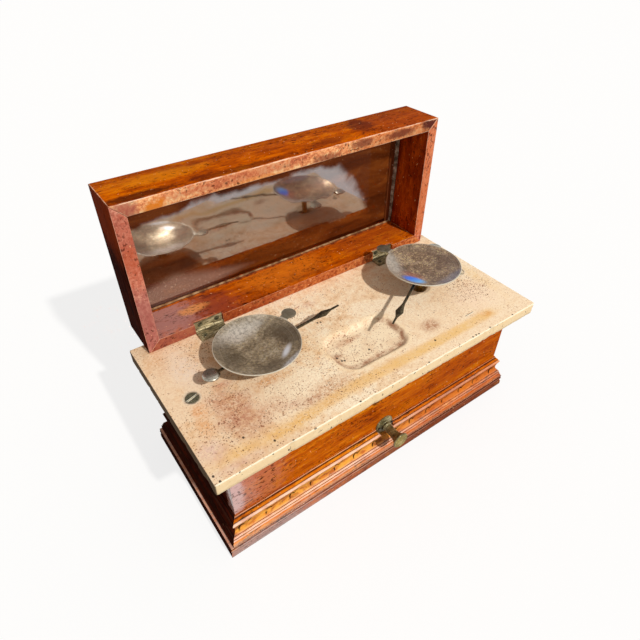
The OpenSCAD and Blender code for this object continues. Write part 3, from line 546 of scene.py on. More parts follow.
def rimFinishes():
    top = woodFinish("rimWoodTop", "rim", "X", 5, onFace(
        1, lidWood["rim"],
        ((120, 274), (80, 30), 0.55, (200, 104, 46)),
        ((-60, 277), (100, 6), 0.6, (188, 100, 70)),
        ((-166, 274), (14, 14), 0.8, (170, 96, 84)),
        ((-140, 270), (12, 10), 0.9, (226, 128, 30)),
        ((164, 279), (14, 10), 1.0, (98, 48, 40)),
        ((122, 276), (26, 5), 0.9, (118, 58, 42)),
        ((73, 277), (18, 5), 0.85, (128, 66, 48)),
        ((30, 272), (20, 5), 0.8, (150, 80, 58)),
        ((-48, 270), (30, 4), 0.5, (240, 160, 84))), wornAndHighlight=(250, 214, 186))
    low = woodFinish("rimWoodLow", "rimLow", "X", 6, onFace(
        1, lidWood["rim"],
        ((-150, 137), (50, 30), 0.7, (150, 84, 72)),
        ((-60, 137), (60, 30), 0.5, (150, 66, 34))), wornAndHighlight=(226, 164, 120))
    tall = woodFinish("rimWoodTall", "rimTall", "Z", 9, onFace(
        1, lidWood["rim"],
        ((168, 220), (40, 120), 0.7, (210, 112, 54)),
        ((-168, 250), (30, 40), 0.7, (178, 92, 70)),
        ((-168, 220), (30, 30), 0.5, (186, 84, 46)),
        ((-168, 160), (30, 50), 0.75, (164, 96, 90))), wornAndHighlight=(228, 170, 142))
    return {"front": top, "back": low, "left": tall, "right": tall}


def dressLid():
    top = onFace(
        2, lidWood["top"],
        ((140, 100), (60, 45), 0.6, (150, 62, 22)),
        ((92, 104), (18, 22), 0.75, (92, 32, 18)),
        ((-120, 104), (50, 12), 0.55, (226, 134, 12)),
        ((40, 86), (30, 10), 0.7, (112, 42, 12)),
        ((-150, 80), (36, 8), 0.85, (70, 24, 8)),
        ((-60, 79), (60, 6), 0.7, (88, 30, 8)))
    inside = onFace(
        2, lidWood["inside"],
        ((-10, 100), (65, 30), 0.55, (210, 114, 30)),
        ((120, 100), (75, 30), 0.5, (150, 66, 24)),
        ((-110, 85), (50, 30), 0.8, (140, 58, 38)),
        # a pinkish patch at the left end: painted sheen
        ((-148, 98), (40, 40), 0.9, (176, 122, 114)),
        ((-118, 96), (18, 8), 0.8, (226, 146, 76)))
    gloss = onFace(2, lidWood["inside"], ((-135, 100), (45, 30), 1.0))
    # the left side's outer face is lighter towards its top: painted light
    side = onFace(0, lidWood["side"], ((95, 266), (60, 45), 0.8, (146, 58, 26)))
    rims = rimFinishes()
    # the left rail takes the shade tones and a darker arris colour: painted shade on the side away from the
    # sun
    looks = {"front": ("lid", "X", 1, top), "back": ("lid", "X", 2, inside, gloss),
             "left": ("shade", "Z", 3, side), "right": ("wall", "Z", 4)}
    # the face that meets the slab when the lid is shut has its own finish, paler and pinker: a painted sheen,
    # the sky's reflection on its polish
    meetsSlab = lambda poly: poly.normal.y < -0.9 and poly.center.y < lidWood["rimFace"]
    for which, look in looks.items():
        node = "lid_rail_" + which
        piece = toObject(softenedMesh(node, lidWood["soft"]), "rail_" + which)
        wornAndHighlight = lidWood["arrisInPaintedShade"] if which == "left" else paleArris
        finishPiece(piece, "lid", "mahogany", woodFinish("lidWood_" + which, *look, wornAndHighlight=wornAndHighlight), node)
        secondFinish(piece, rims[which], meetsSlab)


# the case: heights of the moulding's bands of wear, painted sheen and painted shade in millimetres, of the
# plinth's as shares of its height
# the left side's arris colour is darker: painted shade
caseWood = {"soft": 0.35 * mm, "plinthSoft": 0.5 * mm, "low": 14.5, "high": 46.5, "front": -0.0715,
            "plinth": -0.082, "plinthLeft": -0.1765, "arrisInPaintedShade": (62, 32, 22), "firstCut": (-0.163, -0.064)}


def share(z):
    return (z - caseWood["low"]) / (caseWood["high"] - caseWood["low"])


def atHeights(*stops):
    return [(share(z), v) for z, v in stops]


def thinLines(*lines):
    # ramp stops of thin lines at these heights, with their half widths
    stops = []
    for z, w in lines:
        stops += [(max(0, share(z - w)), 0), (share(z), 1), (min(1, share(z + w)), 0)]
    return stops


# bands by height: gold is a painted sunlit sheen, the pale bands are wear with a painted highlight, the dark
# lines painted shade with dirt
mouldingBands = {
    "low": caseWood["low"] * mm, "high": caseWood["high"] * mm, "wornAndHighlight": (250, 212, 190),
    "grimeAndShade": (30, 14, 10),
    "gold": atHeights((14.5, 0.1), (16.5, 0.2), (19, 0.15), (20, 0), (24.8, 0), (26, 1), (36.8, 1),
                      (37.4, 0.1), (41.6, 0.1), (42.4, 0.15), (46.5, 0)),
    "wearAndHighlight": atHeights((14.9, 0.2), (16, 0.5), (18, 0.4), (19.2, 0.05), (20, 0.8), (21.2, 0.8), (21.7, 0),
                      (22.4, 0), (22.9, 0.9), (23.9, 0.9), (24.6, 0), (25.4, 0.35), (26.6, 0.05), (36.8, 0.1),
                      (37.5, 0.6), (38.2, 0.95), (40.2, 0.95), (40.9, 0.4), (41.2, 0), (44.6, 0), (45, 0.5),
                      (45.7, 0.5), (46, 0)),
    "shadeAndDirt": thinLines((14.9, 0.6), (16.2, 0.7), (22, 0.6), (24.7, 0.5), (37.1, 0.35), (41.3, 0.8),
                      (44.2, 0.9), (46.3, 0.5))}
# the plinth's bands: pale wear with a painted highlight, and dark lines of painted shade with dirt
plinthBands = {
    "low": 0, "high": caseWood["low"] * mm, "wornAndHighlight": (240, 200, 184), "grimeAndShade": (40, 20, 14),
    "gold": [(0, 0), (1, 0)],
    "wearAndHighlight": [(0, 0.3), (0.25, 0.1), (0.5, 0.15), (0.62, 0.05), (0.7, 0.85), (0.78, 0.1), (0.95, 0.1),
             (1, 0.6)],
    "shadeAndDirt": [(0, 0.2), (0.3, 0.1), (0.5, 0.15), (0.56, 0.8), (0.63, 0.1), (0.78, 0.1), (0.86, 0.9),
             (0.95, 0.2)]}
# strokes of the gouge, in millimetres: from along and up, to along and up, half width
gouge = {"pitch": 25.6 * mm, "cuts": ((0.4, 27.8, 2.6, 33.2, 1.8), (2.6, 33.4, 6.6, 30.2, 1.3),
                                      (7.2, 30.0, 11.0, 34.0, 1.2))}


def dressCase():
    frieze = onFace(
        1, caseWood["front"],
        # two pale, pinkish patches at the left end: painted sheen on the polish
        ((-155, 80), (44, 60), 0.75, (194, 114, 84)),
        ((-171, 75), (12, 50), 0.85, (216, 182, 182)),
        # a dark patch under the slab's front edge: painted shadow
        ((-14, 90.5), (6, 5), 0.8, (36, 12, 8)),
        ((110, 75), (70, 50), 0.35, (162, 70, 22)))
    shine = onFace(1, caseWood["front"], ((-166, 75), (20, 50), 1.0))
    for side, axis, seed in (("front", 0, 11), ("back", 0, 12), ("left", 1, 13), ("right", 1, 14)):
        left = side == "left"
        # the left board and strip take the shade tones, a darker arris colour and darker worn bands: painted
        # shade on the side away from the sun
        look = ("shade" if left else "case", "XY"[axis])
        wornAndHighlight = caseWood["arrisInPaintedShade"] if left else paleArris
        board = toObject(softenedMesh("board_" + side, caseWood["soft"]), "caseBoard_" + side)
        marks = (frieze, shine) if side == "front" else ()
        finish = woodFinish("caseWood_" + side, *look, seed, *marks, grain=0.6, wornAndHighlight=wornAndHighlight)
        finishPiece(board, "case", "mahogany", finish, "board_" + side)
        strip = toObject(softenedMesh("moulding_" + side, caseWood["soft"]), "mouldingStrip_" + side, 25)
        bands = dict(mouldingBands, wornAndHighlight=(54, 28, 20)) if left else mouldingBands
        ticks = dict(gouge, axis=axis, first=caseWood["firstCut"][axis])
        finish = woodFinish("mouldWood_" + side, *look, seed + 10, bands=bands, ticks=ticks, wornAndHighlight=wornAndHighlight)
        finishPiece(strip, "case", "mahogany", finish, "moulding_" + side)


def dressPlinth():
    # darker towards the right, with a pale patch at the left that is a painted sheen
    darkAndSheenPatches = onFace(1, caseWood["plinth"], ((100, 4), (180, 30), 0.8, (104, 42, 22)),
                   ((-150, 3), (60, 12), 0.75, (152, 134, 136)))
    shine = onFace(1, caseWood["plinth"], ((-140, 4), (80, 12), 1.0))
    base = toObject(softenedMesh("base_board", caseWood["plinthSoft"], 40), "plinthBoard", 25)
    finish = woodFinish("plinthWood", "case", "X", 31, darkAndSheenPatches, shine, plinthBands)
    finishPiece(base, "case", "mahogany", finish, "base_board")
    # the left end's faces take the shade tones and a darker worn colour: painted shade
    dark = woodFinish("plinthWoodPaintedShade", "shade", "Y", 33, bands=dict(plinthBands, wornAndHighlight=(56, 32, 24)),
                      wornAndHighlight=caseWood["arrisInPaintedShade"])
    secondFinish(base, dark, lambda poly: poly.normal.x < -0.5 or poly.center.x < caseWood["plinthLeft"])


# marble
slab = {"step": 1.15 * mm, "arris": 0.55 * mm, "screwX": 0.1667, "screw": 6.36 * mm, "screwLow": 3.2 * mm,
        "hole": 8.2 * mm, "dish": 12.5 * mm, "dishDeep": 1.6 * mm, "dishWall": 3.4 * mm,
        "recess": (0.003, -0.0306, 0.0415, 0.026, 0.017), "recessDeep": 4 * mm, "wall": 6.2 * mm,
        "corner": 2.2 * mm, "chipBand": 1.5 * mm, "chip": 0.8 * mm, "roughSide": 0.1 * mm}


def recessGap(x, y):
    # distance outside the rounded sunk place, negative inside it
    cx, cy, hx, hy, r = slab["recess"]
    qx, qy = abs(x - cx) - hx + r, abs(y - cy) - hy + r
    return hypot(max(qx, 0), max(qy, 0)) + min(max(qx, qy), 0) - r


def topGrid(bm, hx, hy, z):
    # the top as a fine grid with its four holes; returns the outer border and the holes' borders
    step = slab["step"]
    bmesh.ops.create_grid(bm, x_segments=round(2 * hx / step), y_segments=round(2 * hy / step), size=1)
    bmesh.ops.scale(bm, vec=(hx, hy, 1), verts=bm.verts)
    move(bm, (0, 0, z))
    holes = [(centre, slab["hole"]) for centre in posts.values()]
    holes += [(Vector((k * slab["screwX"], 0)), slab["screw"]) for k in (-1, 1)]
    for centre, r in holes:
        gone = [v for v in bm.verts if (v.co.xy - centre).length < r + 0.5 * step]
        bmesh.ops.delete(bm, geom=gone, context="VERTS")
    border = [e for e in bm.edges if e.is_boundary]
    outside = lambda v: abs(v.co.x) > hx - 1e-5 or abs(v.co.y) > hy - 1e-5
    outer = [e for e in border if all(outside(v) for v in e.verts)]
    inner = [e for e in border if not all(outside(v) for v in e.verts)]
    for vert in {v for e in inner for v in e.verts}:
        centre, r = min(holes, key=lambda hole: (vert.co.xy - hole[0]).length)
        vert.co.xy = centre + (vert.co.xy - centre).normalized() * r
    return outer, inner


def sinkPlaces(bm, paintedHighlight, shadeAndDirt):
    # the sunk place for weights and a shallow dish round each post, with a painted highlight along their
    # borders and painted shade, with dirt, along the sunk place's wall
    dish = slab["dish"]
    for vert in bm.verts:
        x, y = vert.co.xy
        gap = recessGap(x, y)
        wave = noise.noise(Vector((x * 90, y * 90, 0.3)))
        drop = slab["recessDeep"] * smooth01((0.9 * mm - gap + wave * 0.5 * mm) / slab["wall"])
        for centre in posts.values():
            r = (vert.co.xy - centre).length
            drop = max(drop, slab["dishDeep"] * smooth01((dish - r) / slab["dishWall"]))
            if r > dish - 1 * mm:
                vert[paintedHighlight] = max(vert[paintedHighlight], smooth01(1 - (r - dish) / (4 * mm)))
        reach = 3.0 + 2.8 * smooth01((-0.038 - y) / 0.008)  # the painted shade and dirt lie wider at the front wall, which faces away from the sun
        vert[shadeAndDirt] = smooth01(1 - abs(gap + (reach + 1.5 * wave) * mm) / (5.0 * mm))
        if gap > -1 * mm:
            vert[paintedHighlight] = max(vert[paintedHighlight], smooth01(1 - abs(gap - 1.2 * mm) / (5 * mm)))
        vert.co.z -= drop + 0.05 * mm * max(0, wave)


def holeWalls(bm, inner, z):
    # the walls of the holes down to the slab's underside; returns their lower borders
    wall = bmesh.ops.extrude_edge_only(bm, edges=inner)["geom"]
    for vert in vertsOf(wall):
        vert.co.z = z
        for k in (-1, 1):  # the cone under a screw's head
            middle = Vector((k * slab["screwX"], 0))
            off = vert.co.xy - middle
            if off.length < slab["screw"] + slab["step"]:
                vert.co.xy = middle + off * slab["screwLow"] / slab["screw"]
    return [e for e in edgesOf(wall) if all(abs(v.co.z - z) < 1e-7 for v in e.verts)]


def slabSides(bm, ring, hx, hy, top, deep, arris):
    # rounded and chipped arris, side and lower arris; returns the lower border
    b = slab["arris"]
    steps = [(b * sin(a), b * (1 - cos(a))) for a in (pi / 6, pi / 3, pi / 2)]
    steps += [(b, 0.35 * deep), (b, 0.7 * deep), (b, deep - 0.7 * mm), (b - 0.7 * mm, deep)]
    wide = (hx, hy)
    for out, down in steps:
        made = bmesh.ops.extrude_edge_only(bm, edges=ring)["geom"]
        fresh = vertsOf(made)
        for vert in fresh:
            x, y = vert.co.x * (hx + out) / wide[0], vert.co.y * (hy + out) / wide[1]
            chip = max(0, noise.noise(Vector((x * 70, y * 70, 3.1))) - 0.28)
            chip += 0.6 * max(0, noise.noise(Vector((x * 260, y * 260, 7.7))) - 0.3)
            pull = (slab["chip"] if down < slab["chipBand"] else slab["roughSide"]) * chip
            vert.co = Vector((x, y, top - down - (0.5 * pull if down < slab["chipBand"] else 0)))
            vert.co.x -= pull * (1 if x > 0 else -1) * (abs(x) > hx)
            vert.co.y -= pull * (1 if y > 0 else -1) * (abs(y) > hy)
        if down <= b + 1e-6:
            for face in (g for g in made if isinstance(g, bmesh.types.BMFace)):
                face[arris] = 1.0
        freshSet = set(fresh)
        ring = [e for e in edgesOf(made) if all(v in freshSet for v in e.verts)]
        wide = (hx + out, hy + out)
    return ring


def roundCorners(bm, high):
    r = slab["corner"]
    for vert in bm.verts:
        fx, fy = abs(vert.co.x) - (high.x - r), abs(vert.co.y) - (high.y - r)
        if fx > 0 and fy > 0 and hypot(fx, fy) > r:
            k = r / hypot(fx, fy)
            vert.co.x = (high.x - r + fx * k) * (1 if vert.co.x > 0 else -1)
            vert.co.y = (high.y - r + fy * k) * (1 if vert.co.y > 0 else -1)


def buildMarble():
    low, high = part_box("marble_top")
    hx, hy = high.x - slab["arris"], high.y - slab["arris"]
    bm = bmesh.new()
    paintedHighlight = bm.verts.layers.float.new("paintedHighlight")
    shadeAndDirt = bm.verts.layers.float.new("shadeAndDirt")
    arris = bm.faces.layers.float.new("arris")
    outer, inner = topGrid(bm, hx, hy, high.z)
    sinkPlaces(bm, paintedHighlight, shadeAndDirt)
    holeEdges = holeWalls(bm, inner, low.z)
    ring = slabSides(bm, outer, hx, hy, high.z, high.z - low.z, arris)
    roundCorners(bm, high)
    bmesh.ops.triangle_fill(bm, use_beauty=True, use_dissolve=False, edges=ring + holeEdges)
    bmesh.ops.recalc_face_normals(bm, faces=bm.faces)
    return toObject(bm, "marbleSlab", 50)


# the slab's stains: middle, half size, strength and colour; scratches: from, to, half width and colour;
# black dots: middle; all in millimetres
marbleMarks = [
    ((-158, 34), (16, 28), 0.8, (240, 222, 206)),
    ((-176, 60), (12, 24), 0.6, (214, 164, 118)),
    ((-150, 84), (30, 6), 0.6, (204, 148, 104)),
    ((-146, -41), (18, 10), 0.8, (190, 124, 94)),
    ((-139, -28), (20, 13), 0.85, (188, 122, 92)),
    ((-140, -52), (20, 14), 0.8, (184, 124, 98)),
    ((-62, -59), (30, 10), 0.8, (204, 152, 110)),
    ((-149, -14), (12, 10), 0.75, (196, 134, 104)),
    ((-139, -2), (12, 5), 0.7, (206, 140, 114)),
    ((-149, 16), (8, 5), 0.6, (212, 150, 124)),
    ((-120, -48), (22, 10), 0.6, (204, 150, 116)),
    ((-168, -18), (8, 10), 0.75, (224, 146, 74)),
    ((-171, -37), (8, 12), 0.65, (222, 150, 82)),
    ((-104, -20), (16, 7), 0.8, (212, 142, 74)),
    ((-84, -21), (12, 6), 0.6, (224, 164, 96)),
    ((-118, -76), (26, 7), 0.75, (236, 184, 96)),
    ((-94, -74), (20, 7), 0.75, (232, 178, 92)),
    ((-70, -71), (18, 6), 0.7, (226, 170, 94)),
    ((-159, -73), (16, 7), 0.65, (240, 192, 112)),
    ((-178, -60), (12, 12), 0.65, (222, 184, 176)),
    ((-164, -82), (20, 6), 0.6, (226, 188, 172)),
    ((-85, -63), (14, 6), 0.7, (188, 132, 100)),
    ((-102, -55), (10, 6), 0.6, (200, 144, 116)),
    ((-168, 78), (20, 9), 0.6, (206, 158, 116)),
    ((-31, -28.5), (6, 4), 0.9, (150, 92, 60)),
    ((-35, -36), (4, 6), 0.8, (166, 108, 74)),
    ((-10, -17), (20, 3.5), 0.7, (190, 132, 96)),
    ((-50, -4), (18, 22), 0.5, (226, 180, 122)),
    ((-20, -68), (60, 6), 0.6, (232, 184, 112)),
    ((60, -72), (85, 5), 0.8, (240, 198, 126)),
    ((134, -70.5), (8, 4), 0.9, (222, 156, 82)),
    ((71.5, -50), (12, 9), 1.0, (178, 122, 90)),
    ((148, -42), (30, 22), 0.85, (252, 226, 200)),
    ((176, -10), (8, 50), 0.6, (242, 206, 146)),
    ((-10, 49), (8, 6), 0.6, (206, 148, 120))]
marbleScratches = [
    ((112, -60.5), (123.5, -60), 0.55, (64, 56, 48)),
    ((112.5, -61.3), (124, -60.9), 0.5, (255, 250, 230)),
    ((-30, 49.5), (-20, 52), 0.6, (176, 96, 72))]
marbleDots = [(-119.5, -87.5), (-50, -87.2), (32.5, -87.4), (93.5, -87),
              (98.5, -86.8), (102, -87.3), (119, -87.2), (154, -87.4), (-184.5, -86.8),
              (-186.8, -80), (0.7, -38.3), (-32.4, -30.2), (-30.5, -35.6),
              (-28.2, -36.8), (59.1, -68.8), (-20.1, 18.8), (-17, 17.8), (-132, -79),
              (-151, -62)]
marbleDotSize = (1.1, 1.3)


# places on the slab in metres: ranges from and to, some with strengths, the band's distance, two spots
marbleLook = {
    "brownLeft": (-0.06, -0.15, 0, 0.4), "clearAlong": (-0.06, 0.08, 0.1, 0.75),
    "clearAcross": (0.0, -0.045, 0.35, 1), "band": 0.0700, "bandHalf": (0.0085, 0.003),
    "bandAlong": (-0.13, -0.02, 0.2, 0.65), "bandEnd": (0.150, 0.135), "recessBack": (-0.003, -0.006),
    "recessFront": (-0.062, -0.058), "recessEnds": (0.062, 0.058),
    "sunk": (slabTop - 0.8 * mm, slabTop - 3.4 * mm), "sides": (slabTop - 1.0 * mm, slabTop - 1.8 * mm),
    "shadeFront": (-0.026, -0.046, 0.3, 1), "shadeRight": (0.012, 0.034),
    "specksLeft": (0.05, -0.09, 0.0, 0.04), "specksByPan": ((0.152, -0.030), (0.030, 0.026)),
    "bareLeft": ((-0.172, 0.035), (0.02, 0.045)), "brightArris": (-0.1893, -0.1880, 0.1, 0.85),
    "greyArris": (-0.1892, -0.1897), "greyEnd": (-0.1885, -0.1895)}


def marbleGround(vec, xyz, cloud, fineCloud):
    # cream clouds, browner to the left, clearer to the right, gritty, with an ochre band along the front
    colour = toneRamp(plus(times(cloud, 0.55), times(fineCloud, 0.45)), (0.36, 0.44, 0.53),
                      ((218, 176, 132), (245, 216, 178), (255, 240, 212)))
    look = marbleLook
    colour = paint(colour, remap(xyz[0], *look["brownLeft"]), (220, 172, 128))
    clear = times(remap(xyz[0], *look["clearAlong"]), remap(xyz[1], *look["clearAcross"]))
    colour = paint(colour, clear, (253, 230, 198))
    colour = paint(colour, remap(noiseAt(vec, 480, 3, 0.7), 0.42, 0.62, 0, 0.30), (214, 162, 116))
    band = remap(calc("ABSOLUTE", plus(xyz[1], look["band"], times(cloud, 0.002))), *look["bandHalf"])
    ochre = times(band, remap(xyz[0], *look["bandAlong"]), remap(xyz[0], *look["bandEnd"]),
                  remap(fineCloud, 0.35, 0.6, 0.5, 1))
    return paint(colour, ochre, (240, 190, 110))


def marbleStains(colour, vec, xyz, sunkPlace):
    # the sunk place's pale floor, a painted highlight along its borders, stains, and brown painted shade with
    # dirt along the sunk place's wall, thicker at the front and right
    stains = remap(noiseAt(vec, 75, 5, 0.7), 0.44, 0.62, 0.1, 0.95)
    colour = paint(colour, times(sunkPlace, 0.75), (252, 234, 202))
    colour = paint(colour, times(sunkPlace, stains, 0.35), (214, 170, 130))
    # a painted highlight along the borders of the sunk place and the dishes
    colour = paint(colour, times(attributeOf("paintedHighlight"), 0.6), (255, 232, 194))
    ragged = wander(vec, 1.9, 120, 5, 0.75)
    mottle = remap(noiseAt(vec, 240, 5, 0.8), 0.42, 0.56, 0.3, 1)
    for at, size, depth, shade in marbleMarks:
        inside = remap(plus(spotAt(vec, inMetres(at), inMetres(size)), ragged), 1.4, 0.3)
        colour = paint(colour, times(inside, mottle, depth * 0.85), shade)
    # brown along the wall: painted shade with dirt, thicker at the front and right
    patchy = remap(noiseAt(vec, 60, 4, 0.7), 0.40, 0.60, 0.25, 1)
    thick = larger(remap(xyz[1], *marbleLook["shadeFront"]), remap(xyz[0], *marbleLook["shadeRight"]))
    return paint(colour, times(attributeOf("shadeAndDirt"), times(patchy, thick), 0.9), (160, 106, 76))


def marbleSpecks(colour, vec, xyz, sunkPlace):
    # many small brown specks, fewer black, thicker at the left, by the right pan and in the sunk place
    right = remap(spotAt(vec, *marbleLook["specksByPan"]), 1.3, 0.4, 0, 0.085)
    cloudy = times(remap(noiseAt(vec, 30, 4, 0.7), 0.42, 0.62), 0.04)
    crowd = plus(remap(xyz[0], *marbleLook["specksLeft"]), cloudy, right, times(sunkPlace, 0.03))
    crowd = minus(crowd, remap(spotAt(vec, *marbleLook["bareLeft"]), 1.3, 0.6, 0, 0.05))
    odd = times(minus(noiseAt(vec, 140, 3, 0.7), 0.56), 1.3)
    cells = put("ShaderNodeTexVoronoi", {"Vector": vec, "Scale": 430}, feature="F1").outputs["Distance"]
    fine = remap(minus(cells, plus(times(crowd, 2.0), odd)), 0.17, 0.05)
    fine = larger(fine, remap(plus(noiseAt(vec, 640, 2, 0.6), crowd), 0.675, 0.72))
    colour = paint(colour, times(fine, 0.75), (140, 80, 50))
    big = remap(plus(noiseAt(stretched(vec, (1, 1, 1), (3, 1, 0)), 420, 2, 0.55), crowd), 0.755, 0.785)
    return paint(colour, times(big, 0.8), (92, 58, 42)), fine, big


def marbleSmallMarks(colour, vec, fineCloud):
    # black dots, scratches and a dirty ring round each screw
    for at in marbleDots:
        dot = remap(spotAt(vec, inMetres(at), inMetres(marbleDotSize)), 1.1, 0.75)
        colour = paint(colour, times(dot, 0.9), (40, 32, 30))
    for a, b, wide, shade in marbleScratches:
        line = strokeAt(stretched(vec, (1, 1, 0)), inMetres(a), inMetres(b), wide * mm)
        colour = paint(colour, times(line, 0.8), shade)
    for k in (-1, 1):
        ring = spotAt(vec, (k * slab["screwX"], 0), (6.4 * mm, 6.4 * mm))
        colour = paint(colour, times(remap(ring, 1.5, 1.1), 0.5), (222, 210, 190))
        dirty = times(remap(ring, 1.22, 1.05), remap(fineCloud, 0.4, 0.55, 0.2, 0.8))
        colour = paint(colour, dirty, (120, 104, 84))
    return colour


def marbleBorders(colour, vec, xyz, side, fineCloud):
    # a bright arris that is a painted highlight, with dark chips, the sides, and the left end, darker and
    # rougher, its darkness painted shade
    edge = attributeOf("arris")
    # a painted highlight along the arris, fading at the left end
    colour = paint(colour, times(edge, remap(xyz[0], *marbleLook["brightArris"])), (255, 248, 222))
    colour = blend(times(side, 0.9), colour, blend(fineCloud, tint(236, 198, 146), tint(255, 236, 194)))
    chip = remap(noiseAt(vec, 210, 3, 0.6), 0.655, 0.685)
    colour = paint(colour, times(larger(edge, times(side, 0.5)), chip), (70, 62, 56))
    # the left end and its arris darker: painted shade
    end = larger(times(side, remap(xyz[0], *marbleLook["greyEnd"])),
                 times(edge, remap(xyz[0], *marbleLook["greyArris"])))
    return paint(colour, times(end, 0.9), (70, 52, 42)), end


def marbleFinish():
    mat, shader = startFinish("wornMarble")
    vec = objectCoords()
    xyz = partsOf(vec)
    cloud = noiseAt(vec, 20, 5, 0.65, 0.5)
    fineCloud = noiseAt(vec, 130, 4, 0.7)
    look = marbleLook
    inRecess = times(remap(xyz[1], *look["recessBack"]), remap(xyz[1], *look["recessFront"]),
                     remap(calc("ABSOLUTE", xyz[0]), *look["recessEnds"]))
    sunkPlace = times(remap(xyz[2], *look["sunk"]), inRecess)
    side = times(remap(xyz[2], *look["sides"]), minus(1.0, inRecess))
    colour = marbleGround(vec, xyz, cloud, fineCloud)
    colour = marbleStains(colour, vec, xyz, sunkPlace)
    colour, fine, big = marbleSpecks(colour, vec, xyz, sunkPlace)
    colour = marbleSmallMarks(colour, vec, fineCloud)
    colour, end = marbleBorders(colour, vec, xyz, side, fineCloud)
    feed(shader, colour=colour, spec=0.12, rough=plus(remap(cloud, 0.3, 0.7, 0.55, 0.42), times(end, 0.5)))
    bumped(shader, minus(times(noiseAt(vec, 380, 4, 0.65), 0.6), larger(fine, big)), 0.4, 0.00025)
    return mat


# metals
def metalFinish(name, tones, size, rough, metal=1.0, flecks=None, lumps=0.3, relief=0.00012,
                stretch=(1, 1, 1)):
    # tarnished metal: three tones in clouds, small flecks, uneven gloss
    mat, shader = startFinish(name)
    vec = stretched(objectCoords(), stretch)
    cloud = noiseAt(vec, size * 0.3, 5, 0.65, 0.5)
    grain = noiseAt(vec, size * 2.2, 3, 0.6)
    mixed = plus(times(cloud, 0.6), times(grain, 0.4))
    colour = toneRamp(mixed, (0.36, 0.5, 0.64), tones)
    if flecks:
        spot = remap(noiseAt(vec, flecks["size"], 3, 0.6), flecks["from"], flecks["from"] + 0.07)
        spot = times(spot, remap(cloud, 0.42, 0.56, 0.25, 1), flecks["depth"])
        colour = paint(colour, spot, flecks["colour"])
    feed(shader, colour=colour, metal=metal, rough=remap(mixed, 0.35, 0.65, rough[1], rough[0]))
    bumped(shader, grain, lumps, relief)
    return mat, shader, vec, colour


# light and dark places of the pans: middle, half size, turn, strength and colour, in millimetres and degrees
panLooks = {
    "left": {"tones": ((100, 86, 66), (162, 146, 120), (218, 206, 180)), "seed": 2, "turn": 22.9,
             "flecks": {"size": 640, "from": 0.55, "depth": 0.8, "colour": (190, 168, 116)},
             # the pale place at the upper left and the bright arc by the lower right rim are painted
             # highlights
             "places": (((-102, 30), (30, 12), 8, 0.9, (222, 216, 204)),
                        ((-124, 8), (12, 24), 0, 0.55, (88, 76, 58)),
                        ((-68, 2), (12, 28), 20, 0.75, (78, 64, 48)),
                        ((-83.5, -31.5), (14, 3.5), 22, 1.0, (236, 238, 240)),
                        ((-100, -26), (20, 8), 0, 0.5, (104, 90, 72)))},
    "right": {"tones": ((80, 58, 44), (138, 110, 88), (188, 166, 138)), "seed": 5, "turn": 107.3,
              "flecks": {"size": 560, "from": 0.545, "depth": 0.85, "colour": (222, 198, 140)},
              "places": (((80, 24), (14, 28), -20, 0.8, (200, 196, 186)),
                         ((134, -4), (14, 30), 0, 0.5, (104, 82, 74)),
                         # a blue-grey painted reflection along the lower right rim
                         ((116, -30), (24, 7), 8, 0.6, (112, 114, 144)))}}


def paintedBlueReflection(colour, vec):
    # a painted reflection of blue sky on the right pan's inner slope, by the front of the rim, with a warm
    # patch beside it
    warm = remap(spotAt(vec, (0.0885, -0.002), (0.015, 0.009), -65), 1.2, 0.2)
    colour = paint(colour, times(warm, 0.45), (176, 96, 84))
    blue = remap(spotAt(vec, (0.0830, -0.0092), (0.0125, 0.0075), -62), 1.25, 0.45)
    shade = blend(remap(partsOf(vec)[1], -0.002, -0.018), tint(44, 124, 255), tint(110, 190, 255))
    return blend(blue, colour, shade)


def panFinish(side):
    look = panLooks[side]
    name = "pan_" + side + "Metal"
    mat, shader, vec, colour = metalFinish(name, look["tones"], 210, (0.36, 0.5), 0.6, look["flecks"])
    soft = wander(vec, 1.2, 90, 4, 0.7)
    for at, size, angle, depth, shade in look["places"]:
        part = remap(plus(spotAt(vec, inMetres(at), inMetres(size), angle), soft), 1.3, 0.3)
        colour = paint(colour, times(part, depth), shade)
    colour = paint(colour, remap(noiseAt(vec, 380, 4, 0.75), 0.44, 0.62, 0, 0.5), (84, 70, 54))
    if side == "left":
        # a painted highlight by the front of the rim
        glint = remap(spotAt(vec, (-0.0794, -0.0164), (0.010, 0.0034), 40), 1.3, 0.3)
        colour = paint(colour, glint, (236, 240, 246))
    # turned rings, rubbed bright towards the rim
    off = spotAt(stretched(vec, (1, 1, 0)), posts[side], (1, 1))
    rings = noiseAt(madeOf(off, 0.0, 0.0), 900, 2, 0.6)
    turned = times(remap(rings, 0.45, 0.65), remap(off, 24 * mm, 36 * mm, 0.05, 0.3))
    colour = paint(colour, turned, (200, 190, 170))
    colour = paint(colour, times(remap(off, 39.2 * mm, 39.9 * mm), 0.8), (216, 208, 190))
    # the thumb tab is darker than the dish
    tab = times(remap(off, 41.2 * mm, 42.5 * mm), remap(soft, -0.3, 0.3, 0.95, 0.6))
    colour = paint(colour, tab, (84, 76, 52))
    if side == "right":
        colour = paintedBlueReflection(colour, vec)
    feed(shader, colour=colour)
    return mat


panShape = {"radius": 40.4 * mm, "high": 7.6 * mm, "thick": 0.8 * mm, "foot": 9 * mm, "rim": 1.1 * mm,
            "dent": 0.18 * mm, "tab": 7.2 * mm, "tabOut": 50.4 * mm, "tabThick": 1.0 * mm, "tabRim": 0.3 * mm,
            "neck": 8.5 * mm, "neckFrom": -1.2 * mm, "neckTo": 1.6 * mm, "tabDown": 0.5 * mm}


